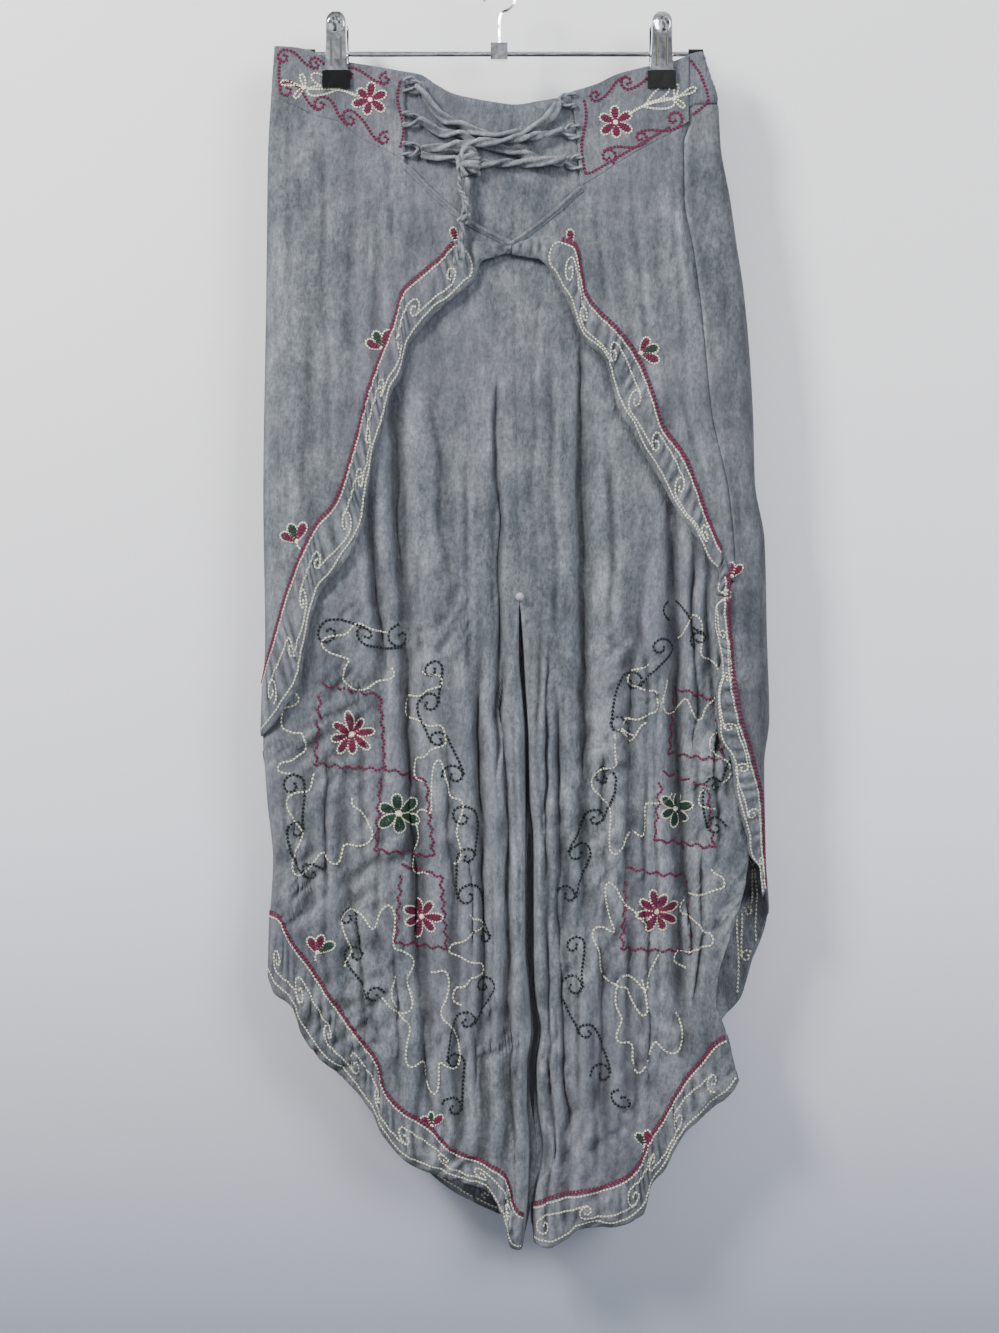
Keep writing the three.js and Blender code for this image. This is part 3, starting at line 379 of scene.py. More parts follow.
CENTRE_RIGHT = Table("z x",
    (-84, 11.2), (-230, 12), (-359, 14), (-535, 17.2), (-578, 19.6), (-652, 24), (-700, 24.6),
    (-732, 28.4), (-831, 29), (-868, 30), (-901, 35), (-930, 31), (-963, 32.5), (-1000, 37),
    (-1055, 28.5), (-1085, 29))
YOKE_TOP_LEFT = Table("x z",
    (-199, -57.5), (-176, -59), (-160, -62.5), (-148, -70), (-126, -73), (-99, -77), (-81, -81))
YOKE_LOW_LEFT = Table("x z",
    (-199, -98), (-174, -110), (-156, -118), (-138, -122.5), (-119, -137), (-91, -151), (-81, -158))
YOKE_TOP_RIGHT = Table("x z",
    (60, -98), (82, -91), (101, -82), (124, -76), (154, -69.5), (162, -65.5))
YOKE_LOW_RIGHT = Table("x z",
    (60, -183), (69, -179), (82, -171.5), (105, -156), (124, -145), (144, -134), (162, -122.5))
YOKE_SEAM_RIGHT = Table("z x", (-98, 60.5), (-130, 65.5), (-180, 69))
YOKE_SEAM_LEFT_X = -81
YOKE_SEAM_RIGHT_X = 69
WAIST_BACK = Table("x z",
    (-199, -57.5), (-172, -60), (-133, -70), (-86, -76), (-69, -78), (-55, -86), (-40, -94),
    (-26, -97.5), (0, -102), (13, -103.5), (34, -100.5), (52, -97.5), (77, -91), (103, -82),
    (138, -73.5), (174, -62.5), (186, -62))
WAIST_FRONT = Table("x z",
    (-199, -69), (-133, -83), (-81, -91), (-67, -88), (-50, -95), (-40, -101), (-19, -112),
    (-8, -116.5), (10, -114.5), (20, -110.5), (34, -106.5), (52, -104), (64, -107), (129, -89),
    (163, -79), (186, -75))
NECK_LEFT = Table("x z", (-81, -158), (-52, -187), (-26, -208.5), (10.3, -227.5))
NECK_RIGHT = Table("x z", (10.3, -227.5), (40, -205), (69, -179))
OVERLAY_EDGE_LEFT = Table("x z",
    (-205, -648), (-195, -641), (-185, -627), (-169, -600), (-165, -575), (-160, -548),
    (-153, -528), (-134, -503), (-119.5, -479), (-114, -457), (-108, -412), (-99, -386),
    (-94, -361), (-83, -338), (-79, -318), (-67, -300), (-42, -277), (-22, -258), (-15, -243),
    (10.3, -236))
OVERLAY_PIPING_LEFT = Table("x z",
    (-205, -608), (-196, -575), (-176, -511), (-156, -467), (-138, -445), (-127, -412),
    (-120, -386), (-112, -354), (-98, -316), (-90, -295), (-82, -268), (-67, -254), (-51, -240),
    (-37, -226), (10.3, -229.2))
OVERLAY_EDGE_RIGHT = Table("x z",
    (10.3, -236), (32, -241), (40, -247), (52, -265), (60, -282), (71, -310), (85, -323),
    (91, -333), (95, -349), (101.5, -370), (109, -381.5), (120, -403), (138, -433), (150, -454),
    (169, -482), (187, -509.5), (200, -516.5))
OVERLAY_PIPING_RIGHT = Table("x z",
    (10.3, -229.2), (40, -222), (64, -228), (73, -269), (82, -282), (98, -298), (118, -325),
    (131, -356), (138, -381), (156.5, -408), (169, -438), (177, -461), (187, -486), (200, -504))
HEM_FRONT_LEFT = Table("x z",
    (-200, -850), (-192, -866), (-178, -875), (-168, -902), (-154, -920), (-131, -940.5),
    (-110, -965.5), (-100, -987), (-75, -1013), (-43, -1024), (-11, -1034), (4, -1061),
    (10, -1084), (20, -1086))
PIPING_FRONT_LEFT = Table("x z",
    (-200, -796), (-188, -800), (-180, -817), (-157, -848), (-142, -871), (-117, -906),
    (-105, -922), (-99, -946), (-82, -965), (-60, -979), (-43, -997), (-10, -1011), (4, -1021),
    (13, -1048), (24, -1057))
HEM_FRONT_RIGHT = Table("x z",
    (29, -1080), (40, -1083), (58, -1076), (66, -1069), (107, -1062), (123, -1055), (129, -1031),
    (144, -1012), (151, -995), (162, -981), (180, -966), (198, -950), (205, -939))
PIPING_FRONT_RIGHT = Table("x z",
    (28, -1047), (55, -1037), (98, -1027), (111, -1020), (122, -1006), (127, -991), (138, -973),
    (158, -939), (172, -922), (186, -905), (205, -897))
HEM_BACK_LEFT = Table("x z",
    (-205, -649), (-196, -705), (-182, -790), (-162, -878), (-136, -935), (-110, -974),
    (-67, -1021), (-40, -1043), (-22, -1052), (4, -1064), (22, -1072))
HEM_BACK_RIGHT = Table("x z",
    (28, -1066), (60, -1052), (90, -1036), (120, -1011), (150, -975), (178, -925), (193, -894),
    (209, -873), (217, -846), (226, -821), (231, -797))
SLIT_PIPING_RIGHT = Table("z x",
    (-486, 187), (-517, 195.5), (-543, 194.5), (-570, 197), (-630, 205), (-655, 213),
    (-678, 219.5), (-696, 224), (-754, 227.5))

# Depth of the flattened garment, at the clips and free of them
CLOTH = 1.2
LAYER = 2.4
STACK_FRONT = -10.8
STACK_BACK = STACK_FRONT + 2 * LAYER
LAP = 0.7
SEAM = 0.1
CLIP_X = {"left": -139.3, "right": 138.5}
CROTCH_Z = -535.0
INSEAM_ROUND = 8.0
SLIT_TOP_Z = -519.0
SLIT_END_Z = -754.0
SLIT_FOLD_Z = -797.0
WAISTBAND_HEIGHT = 45.0
BAND_CLEAR = 0.9
DEPTH_CLIPPED = Table("z front back",
    (-58, STACK_FRONT, STACK_BACK), (-120, STACK_FRONT, STACK_BACK), (-150, -12.5, -2),
    (-210, -16.5, 6), (-350, -22, 12), (-500, -25, 16), (-700, -26, 18), (-1090, -22, 15))
DEPTH_FREE = Table("z front back",
    (-58, -13, 7), (-120, -13, 7), (-150, -14, 8), (-210, -17, 10), (-350, -22, 12),
    (-500, -25, 16), (-700, -26, 18), (-1090, -22, 15))
UNDER_LAG = Table("z lag", (-58, LAYER), (-130, LAYER), (-200, 4), (-320, 6), (-1090, 6))


# Main folds and creases: from (x0, z0) to (x1, z1), so wide and so deep, placed one by one
FRONT_FOLDS = [
    (-92, -330, -62, -930, 9, 10), (-4, -330, 0, -700, 6, 6), (-112, -430, -97, -600, 8, 7),
    (-57, -330, -40, -520, 9, 4), (-140, -640, -125, -840, 10, 6), (-172, -660, -160, -830, 9, 6),
    (-20, -560, -14, -1010, 7, 9), (4, -600, 6, -1060, 6, 8), (-42, -700, -34, -1000, 8, 7),
    (68, -330, 75, -820, 9, 11), (146, -430, 156, -900, 9, 14), (168, -450, 162, -560, 6, 7),
    (178, -470, 176, -640, 5, 6), (112, -520, 108, -980, 10, 6), (52, -600, 56, -1040, 8, 8),
    (40, -640, 40, -1060, 5, 7), (90, -640, 88, -1010, 8, 6)]
BACK_FOLDS = [
    (-160, -200, -150, -860, 12, 9), (-118, -140, -126, -700, 10, 8), (-80, -140, -86, -960, 12, 10),
    (-40, -150, -52, -780, 9, 8), (-24, -560, -22, -1030, 8, 8), (30, -150, 66, -700, 10, 8),
    (70, -150, 84, -980, 12, 10), (110, -140, 128, -820, 10, 9), (150, -180, 164, -720, 12, 8),
    (46, -560, 52, -1030, 7, 8), (180, -420, 190, -800, 9, 7)]
OVERLAY_FOLDS = [
    (-124, -150, -130, -300, 6, 2), (-160, -240, -165, -520, 8, 2), (-104, -190, -108, -330, 6, 1.6),
    (96, -190, 112, -330, 6, 2), (130, -160, 146, -400, 8, 2), (60, -200, 64, -260, 5, 1.2)]
# Smaller creases that only the looks have
FRONT_CREASES = [
    (-120, -620, -112, -760, 3.5, 2.4), (-98, -640, -104, -820, 3.0, 2.0), (-84, -700, -78, -900, 3.2, 2.2),
    (-152, -700, -146, -860, 3.4, 2.2), (-185, -690, -176, -800, 3.0, 2.0), (-70, -500, -60, -700, 3.2, 1.8),
    (-30, -420, -26, -600, 3.0, 1.8), (-50, -860, -46, -1000, 3.0, 2.4), (-28, -820, -24, -980, 2.6, 2.2),
    (-8, -760, -6, -930, 2.4, 2.4), (14, -650, 15, -820, 2.2, 2.0), (-66, -930, -72, -985, 3.0, 2.0),
    (30, -300, 28, -480, 3.0, 1.4), (44, -330, 46, -560, 3.2, 1.8), (92, -420, 96, -560, 3.4, 2.0),
    (122, -540, 126, -700, 3.0, 2.2), (132, -600, 134, -860, 2.8, 2.4), (100, -700, 98, -930, 3.2, 2.2),
    (66, -760, 68, -960, 2.8, 2.4), (46, -760, 47, -940, 2.4, 2.4), (168, -640, 172, -820, 3.0, 2.4),
    (190, -560, 194, -700, 3.0, 2.0), (80, -880, 82, -1020, 3.0, 2.2), (120, -860, 118, -980, 3.0, 2.0),
    (-108, -860, -104, -920, 3.0, 2.0), (34, -560, 33, -760, 2.4, 2.2)]
BACK_CREASES = [
    (-178, -240, -172, -560, 3.4, 2.0), (-140, -300, -138, -620, 3.2, 2.2),
    (-100, -200, -104, -480, 3.4, 2.0), (-62, -260, -68, -560, 3.2, 2.2),
    (-20, -200, -18, -480, 3.0, 1.8), (20, -260, 22, -520, 3.0, 2.0), (50, -200, 56, -500, 3.2, 2.2),
    (92, -300, 100, -640, 3.4, 2.0), (138, -240, 146, -600, 3.2, 2.2), (172, -300, 178, -640, 3.2, 2.0),
    (-104, -640, -100, -880, 3.2, 2.4), (-66, -700, -62, -960, 3.0, 2.4),
    (-6, -640, -4, -980, 2.8, 2.4), (38, -660, 38, -1000, 2.6, 2.4), (106, -680, 108, -900, 3.2, 2.2),
    (140, -640, 144, -820, 3.0, 2.2)]
OVERLAY_CREASES = [
    (-180, -130, -178, -330, 3.2, 0.8), (-150, -150, -148, -420, 3.0, 0.9),
    (-112, -180, -116, -280, 2.6, 0.9), (-96, -170, -88, -240, 2.8, 0.9),
    (-64, -185, -52, -230, 2.4, 0.7), (-170, -420, -176, -560, 3.0, 0.9),
    (82, -200, 92, -290, 2.8, 0.8), (112, -170, 128, -330, 3.0, 0.9), (146, -150, 160, -360, 2.8, 0.9),
    (150, -330, 178, -460, 3.0, 0.9), (72, -190, 76, -250, 2.4, 0.7)]


# Tucks that show as dark slits; the last column is 1 where the steep side is on the right
FRONT_TUCKS = [
    (-92, -352, -80, -560, 3.4, 5.0, 1), (-80, -560, -68, -860, 3.2, 7.5, 1),
    (-3, -330, -1, -700, 2.6, 4.5, -1), (-112, -430, -98, -610, 3.2, 4.5, 1),
    (-56, -350, -42, -540, 3.0, 2.2, 1), (-66, -860, -58, -985, 3.0, 5.0, 1),
    (-150, -650, -148, -800, 2.8, 4.5, -1), (-128, -760, -112, -930, 2.8, 4.5, 1),
    (-176, -690, -170, -830, 2.6, 4.0, 1), (-16, -585, -13, -900, 2.2, 5.0, 1),
    (4, -560, 5, -860, 2.2, 5.0, -1), (-26, -720, -20, -1000, 2.2, 4.5, 1),
    (-44, -640, -40, -820, 2.4, 3.4, -1), (-92, -800, -84, -960, 2.4, 4.0, -1),
    (10, -860, 12, -1040, 2.0, 4.0, 1), (67, -300, 70, -700, 3.0, 7.0, -1),
    (70, -700, 74, -830, 2.6, 4.5, -1), (143, -455, 150, -640, 3.2, 8.5, -1),
    (150, -640, 164, -850, 3.2, 9.0, -1), (166, -480, 166, -690, 2.6, 6.5, 1),
    (178, -500, 180, -640, 2.4, 5.0, 1), (50, -600, 58, -1000, 2.4, 4.5, 1),
    (40, -560, 39, -780, 2.0, 4.5, -1), (44, -800, 46, -1050, 2.0, 4.5, 1),
    (88, -650, 86, -980, 2.6, 3.6, 1), (112, -560, 106, -900, 2.6, 3.4, -1),
    (128, -660, 124, -960, 2.4, 3.6, 1), (186, -560, 183, -760, 2.4, 4.5, -1),
    (174, -720, 166, -900, 2.6, 4.5, -1)]
BACK_TUCKS = [
    (-162, -260, -150, -840, 3.2, 6.0, 1), (-118, -180, -126, -640, 3.0, 5.0, -1),
    (-82, -300, -86, -930, 3.2, 6.5, 1), (-44, -240, -52, -760, 2.8, 5.0, -1),
    (-22, -590, -20, -1020, 2.4, 5.0, 1), (32, -240, 62, -680, 2.8, 5.0, -1),
    (72, -330, 84, -960, 3.2, 6.5, 1), (112, -240, 128, -800, 2.8, 5.5, -1),
    (152, -300, 162, -700, 3.0, 5.0, 1), (48, -600, 52, -1010, 2.4, 5.0, -1)]


def smooth(start, end, value):
    t = np.clip((value - start) / (end - start), 0.0, 1.0)
    return t * t * (3 - 2 * t)


def lattice(ix, iz, seed):
    """One repeatable number from -1 to 1 for each cell of a lattice."""
    mixed = (ix * 374761393 + iz * 668265263 + seed * 974634777) & 0x7FFFFFFF
    mixed = ((mixed ^ (mixed >> 13)) * 1274126177) & 0x7FFFFFFF
    mixed = (mixed ^ (mixed >> 16)) & 0xFFFF
    return mixed / 32767.5 - 1.0


def noise(x, z, seed):
    """Smooth value noise, about -1 to 1, one cell a unit."""
    ix, iz = np.floor(x).astype(np.int64), np.floor(z).astype(np.int64)
    fx, fz = x - ix, z - iz
    fx, fz = fx * fx * (3 - 2 * fx), fz * fz * (3 - 2 * fz)
    low = lattice(ix, iz, seed) * (1 - fx) + lattice(ix + 1, iz, seed) * fx
    high = lattice(ix, iz + 1, seed) * (1 - fx) + lattice(ix + 1, iz + 1, seed) * fx
    return low * (1 - fz) + high * fz


def centre_of(row, z):
    """Where a fold's own line runs at each height."""
    x0, z0, x1, z1 = row[:4]
    return x0 + np.clip((z - z0) / (z1 - z0), 0.0, 1.0) * (x1 - x0)


def troughs(folds, x, z):
    """How far the cloth steps back in its folds: the deepest fold wins."""
    deepest = np.zeros_like(x)
    wander = 2.6 * noise(x / 55.0, z / 48.0, 17) + 1.2 * noise(x / 26.0, z / 22.0, 18)
    wander = wander * smooth(-230, -420, z)
    for row in folds:
        _, z0, _, z1, width, depth = row
        ends = smooth(z0 + 30, z0 - 110, z) * (1 - smooth(z1 + 60, z1 - 60, z))
        across = (x + wander - centre_of(row, z)) / width
        deepest = np.maximum(deepest, depth * ends * np.exp(-across * across))
    return deepest


def tucks(rows, x, z, seed):
    """Narrow tucks where the cloth turns under itself: steep on one side, soft on the other."""
    deepest = np.zeros_like(x)
    wander = 3.6 * noise(x / 60.0, z / 52.0, seed) + 1.7 * noise(x / 24.0, z / 19.0, seed + 1)
    for row in rows:
        _, z0, _, z1, width, depth, steep_side = row
        centre = centre_of(row, z)
        ends = smooth(z0 + 8, z0 - 60, z) * (1 - smooth(z1 + 60, z1 - 8, z))
        beat = 1 + 0.45 * noise(0 * x + centre / 9.0, z / 27.0, seed + 2)
        across = steep_side * (x + wander - centre) / width
        reach = np.where(across > 0, 0.42, 1.5)
        deepest = np.maximum(deepest, depth * beat * ends * np.exp(-(across / reach) ** 2))
    return deepest


def creases(rows, x, z, seed):
    """Small creases: narrow troughs that wander, each beside a low ridge."""
    total = np.zeros_like(x)
    wander = 3.0 * noise(x / 40.0, z / 55.0, seed)
    for row in rows:
        _, z0, _, z1, width, depth = row
        ends = smooth(z0 + 30, z0 - 30, z) * (1 - smooth(z1 + 30, z1 - 30, z))
        across = (x + wander - centre_of(row, z)) / width
        total += depth * ends * (np.exp(-across**2) - 0.6 * np.exp(-(across - 1.9) ** 2))
    return total


def crinkle(x, z, seed, strength):
    """The gauze's own crinkle: long uneven streaks, with short puckers across them."""
    drift = 9.0 * noise(x / 60.0, z / 150.0, seed) + 3.0 * noise(x / 25.0, z / 50.0, seed + 1)
    broad = noise((x + drift) / 11.0, z / 70.0, seed + 2)
    narrow = noise((x + drift) / 5.0, z / 34.0, seed + 3)
    short = noise((x + 0.4 * z) / 9.0, (z - 0.5 * x) / 9.0, seed + 4)
    ridge = 1 - 2 * np.abs(noise((x + drift) / 14.0, z / 45.0, seed + 5))
    return strength * (0.7 * broad + 0.45 * narrow + 0.40 * short + 0.5 * ridge)


def rumple(x, z, seed):
    """Short slanting wrinkles in loose patches, deeper towards the hems."""
    patch = smooth(-0.35, 0.30, noise(x / 45.0, z / 60.0, seed)) * smooth(-400, -650, z)
    bend_here = 10.0 * noise(x / 50.0, z / 60.0, seed + 1)
    along = 0.80 * x + 0.60 * z + bend_here
    across = 0.80 * z - 0.60 * x + bend_here
    ridge = 1 - 2.4 * np.abs(noise(along / 24.0, across / 8.5, seed + 2))
    other = 1 - 2.4 * np.abs(noise((0.9 * x - 0.5 * z) / 15.0, (0.9 * z + 0.5 * x) / 22.0, seed + 3))
    return patch * (2.3 * ridge + 1.7 * other)


def inseam_crumple(x, z):
    """Ridges that crowd along both inseams, where the legs are pushed together."""
    near = np.exp(-((x - 21.0) / 34.0) ** 4) * smooth(-535, -640, z)
    drift = 4.0 * noise(x / 30.0, z / 60.0, 61)
    ridges = 1 - 2.2 * np.abs(noise((x + drift) / 7.5, z / 42.0, 62))
    knocks = noise((x + drift) / 6.0, z / 15.0, 63)
    return near * (1.3 * ridges + 1.3 * knocks)


def free_of_clips(x):
    inside = smooth(CLIP_X["left"] + 14, CLIP_X["left"] + 90, x)
    return inside * (1 - smooth(CLIP_X["right"] - 90, CLIP_X["right"] - 14, x))


def depth_at(x, z, column):
    clipped = DEPTH_CLIPPED.at(z, column)
    return clipped + free_of_clips(x) * (DEPTH_FREE.at(z, column) - clipped)


def middle_at(x, z):
    return 0.5 * (depth_at(x, z, "front") + depth_at(x, z, "back"))


def round_off(distance, radius):
    t = np.clip(1 - distance / radius, 0.0, 1.0)
    return np.sqrt(1 - t * t)


def fold_radius(x, z):
    return np.maximum(3.8, 0.8 * (depth_at(x, z, "back") - depth_at(x, z, "front")))


def side_round(x, z, inset):
    radius = fold_radius(x, z)
    left = round_off(x - SIDE_LEFT.at(z) - inset, radius)
    right = round_off(SIDE_RIGHT.at(z) - inset - x, radius)
    return np.minimum(left, right)


def leg_round(x, z, is_left):
    radius = np.maximum(INSEAM_ROUND * smooth(CROTCH_Z + 5, CROTCH_Z - 70, z), 0.01)
    edge = CENTRE_LEFT.at(z) - 0.8 - x if is_left else x - CENTRE_RIGHT.at(z) - 0.8
    return np.where(radius < 0.5, 1.0, round_off(edge, radius))


def under_inset(z):
    return 0.8 + 4.2 * smooth(-665, -625, z)


# Height in Y of each layer of cloth, in millimetres, from x and z
def overlay_y(x, z):
    middle = middle_at(x, z)
    detail = creases(OVERLAY_CREASES, x, z, 21) + crinkle(x, z, 31, 0.70 * smooth(-105, -190, z))
    front = depth_at(x, z, "front") + troughs(OVERLAY_FOLDS, x, z) + detail
    return middle + (front - middle) * side_round(x, z, 0.0)


def lapped_y(x, z):
    return overlay_y(x, z) + LAP * smooth(0, 14, SIDE_RIGHT.at(z) - x)


def seam_dip(x, z):
    """Soft groove where the right side seam is sewn, above the slit."""
    away = x - SIDE_SEAM_RIGHT.at(z)
    fold = 2.3 * np.exp(-((away + 1.5) / 5.0) ** 2) * smooth(-400, -240, z) * smooth(-95, -130, z)
    return (0.9 * np.exp(-((away / 2.4) ** 2)) + fold) * smooth(-530, -505, z)


def covered(x, z):
    """1 where an overlay lies on the front panels, 0 where they show."""
    left = np.where(x < 10.3, smooth(-12, 4, z - OVERLAY_EDGE_LEFT.at(np.minimum(x, 10.3))), 0.0)
    right = np.where(x >= 10.3, smooth(-12, 4, z - OVERLAY_EDGE_RIGHT.at(np.maximum(x, 10.3))), 0.0)
    return np.maximum(left, right)


def under_y(x, z, is_left):
    middle = middle_at(x, z)
    show = 1 - 0.75 * covered(x, z)
    detail = (creases(FRONT_CREASES, x, z, 22) + tucks(FRONT_TUCKS, x, z, 24)) * show
    detail = detail + crinkle(x, z, 32, (0.70 + 0.25 * smooth(-500, -800, z)) * show)
    detail = detail - rumple(x, z, 64) * show
    detail = detail - inseam_crumple(x, z) + 0.9 * np.exp(-((x - CENTRE_LEFT.at(z)) / 2.6) ** 2)
    front = depth_at(x, z, "front") + UNDER_LAG.at(z) + troughs(FRONT_FOLDS, x, z) + detail
    shape = np.minimum(side_round(x, z, under_inset(z)), leg_round(x, z, is_left))
    return middle + (front - middle) * shape


def back_y(x, z, is_left):
    middle = middle_at(x, z)
    folds = troughs(BACK_FOLDS, x, z) * smooth(-140, -360, z)
    detail = (creases(BACK_CREASES, x, z, 23) + tucks(BACK_TUCKS, x, z, 25)) * smooth(-120, -200, z)
    detail = detail + crinkle(x, z, 33, 0.7 * smooth(-105, -190, z)) - inseam_crumple(x, z)
    detail = detail - rumple(x, z, 67)
    back = depth_at(x, z, "back") - folds - detail
    shape = np.minimum(side_round(x, z, 0.0), leg_round(x, z, is_left))
    return middle + (back - middle) * shape


def seamed_front(x, z, height_y):
    """Height of a front layer, kept clear of the back at the side folds."""
    return np.minimum(height_y(x, z), middle_at(x, z) - SEAM / 2)


def seamed_overlay_y(x, z):
    return seamed_front(x, z, overlay_y)


def left_under_y(x, z):
    return under_y(x, z, True)


def right_under_y(x, z):
    return under_y(x, z, False)


def left_back_y(x, z):
    return back_y(x, z, True)


def right_back_y(x, z):
    return back_y(x, z, False)


# Panel grids
def meet(column_x, line):
    """Height where each column meets a line that is given along X."""
    z = line(column_x(-300.0))
    for _ in range(30):
        z = z + 0.6 * (line(column_x(z)) - z)
    return z


def even(t):
    return t


def dense_ends(t):
    return t - 0.6 * np.sin(2 * math.pi * t) / (2 * math.pi)


def dense_start(t):
    return t ** 1.3


def dense_end(t):
    return 1 - (1 - t) ** 1.3


def panel_grid(left, right, spread, top, low, columns, rows):
    """x and z of a panel: columns from the left line to the right one, from top to hem."""
    share = spread(np.linspace(0.0, 1.0, columns))

    def column_x(z):
        return left(z) + (right(z) - left(z)) * share

    z_top, z_low = meet(column_x, top), meet(column_x, low)
    v = np.linspace(0.0, 1.0, rows)
    z = z_top[:, None] + (z_low - z_top)[:, None] * v[None, :]
    start, end = left(z), right(z)
    return start + (end - start) * share[:, None], z


def facing_normals(points, facing):
    """Normals of a grid of points, on the side that it faces along Y."""
    along = np.gradient(points, axis=0)
    down = np.gradient(points, axis=1)
    normals = unit(np.cross(along, down))
    return normals if np.median(normals[..., 1]) * facing > 0 else -normals


def grid_faces(columns, rows, offset=0, flip=False):
    i, j = np.meshgrid(np.arange(columns - 1), np.arange(rows - 1), indexing="ij")
    a = (i * rows + j).ravel() + offset
    quads = np.stack([a, a + rows, a + rows + 1, a + 1], axis=1)
    return quads[:, ::-1] if flip else quads


def wear_and_shade_of(points, normals):
    """Painted highlight on ridges and painted shade in creases, with the stonewash wear, from how each point
    stands to its neighbours.
    """
    near = points[..., 1] * np.sign(np.median(normals[..., 1]))
    smoothed = near.copy()
    for _ in range(6):
        padded = np.pad(smoothed, 2, mode="edge")
        smoothed = 0.2 * (padded[0:-4, 2:-2] + padded[1:-3, 2:-2] + padded[2:-2, 2:-2]
                          + padded[3:-1, 2:-2] + padded[4:, 2:-2])
    return np.clip((near - smoothed) / 1.2, -1.0, 1.0)


def wall(name, points, facing, material, thickness=CLOTH):
    """Thin closed shell over a grid of points."""
    normals = facing_normals(points, facing)
    columns, rows = points.shape[:2]
    outer = (points + normals * (0.5 * thickness)).reshape(-1, 3)
    inner = (points - normals * (0.5 * thickness)).reshape(-1, 3)
    count = columns * rows
    probe = np.cross(points[1, 0] - points[0, 0], points[0, 1] - points[0, 0])
    flip = np.dot(probe, normals[0, 0]) < 0
    faces = [grid_faces(columns, rows, 0, flip), grid_faces(columns, rows, count, not flip)]
    rim = np.concatenate([
        np.arange(columns) * rows,
        (columns - 1) * rows + np.arange(1, rows),
        (np.arange(columns - 2, -1, -1)) * rows + rows - 1,
        np.arange(rows - 2, 0, -1)])
    following = np.roll(rim, -1)
    edge = np.stack([rim, rim + count, following + count, following], axis=1)
    faces.append(edge if not flip else edge[:, ::-1])
    # Painted shade in the folds and painted highlight on their ridges, with the wear, on both faces of the
    # shell.
    wear_and_shade = wear_and_shade_of(points, normals).ravel()
    return mesh_object(name, np.vstack([outer, inner]), np.vstack(faces), material,
                       np.concatenate([wear_and_shade, wear_and_shade]))


# Cloth panels, each in place of its CAD solid
def points_of(x, y, z):
    return np.stack([x, y, z], axis=2)


def replace(piece, *nodes, slot="gauze"):
    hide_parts(*nodes)
    return piece


def leg_gap(z):
    """Room left by each leg at the middle; from the thigh to the knee the legs all but touch."""
    apart = SEAM / 2 + 0.6 * smooth(CROTCH_Z + 10, CROTCH_Z - 20, z)
    slot = smooth(-722, -745, z) * smooth(-985, -945, z)
    closed = smooth(-592, -610, z) * (1 - 0.5 * slot) * smooth(-1078, -1050, z)
    return apart + closed * (0.08 - apart - 0.5 * (CENTRE_RIGHT.at(z) - CENTRE_LEFT.at(z)))


def left_inseam(z):
    return CENTRE_LEFT.at(z) - leg_gap(z)


def right_inseam(z):
    return CENTRE_RIGHT.at(z) + leg_gap(z)


def left_overlay_top(x):
    return np.where(x <= YOKE_SEAM_LEFT_X, YOKE_LOW_LEFT.at(x), NECK_LEFT.at(x)) - SEAM


def right_overlay_top(x):
    return np.where(x >= YOKE_SEAM_RIGHT_X, YOKE_LOW_RIGHT.at(x), NECK_RIGHT.at(x)) - SEAM


def right_side_seam(z):
    return SIDE_SEAM_RIGHT.at(z) - SEAM / 2


def back_top(x):
    return WAIST_BACK.at(x) - WAISTBAND_HEIGHT - BAND_CLEAR


def panel(node, points, facing, slot="gauze"):
    piece = wall(f"{node}_cloth", points, facing, GAUZE)
    replace(piece, node, slot=slot)


def side_flap(rows):
    """Part of the right back panel that is turned round the side to the front, above the slit's end."""
    turn_x = np.array(180.0)
    columns = []
    for share in np.linspace(0.0, 1.0, 25)[1:]:
        end = SLIT_FOLD_Z + (SLIT_END_Z - SLIT_FOLD_Z) * share
        z = back_top(turn_x) + (end - back_top(turn_x)) * np.linspace(0.0, 1.0, rows)
        edge = np.where(z > SLIT_TOP_Z, SIDE_SEAM_RIGHT.at(z) + SEAM / 2, SLIT_EDGE_RIGHT.at(z))
        side = SIDE_RIGHT.at(z)
        x = side - np.maximum(side - edge, 3.0) * share ** 1.3
        columns.append(np.stack([x, lapped_y(x, z) + seam_dip(x, z), z], axis=1))
    return np.array(columns)


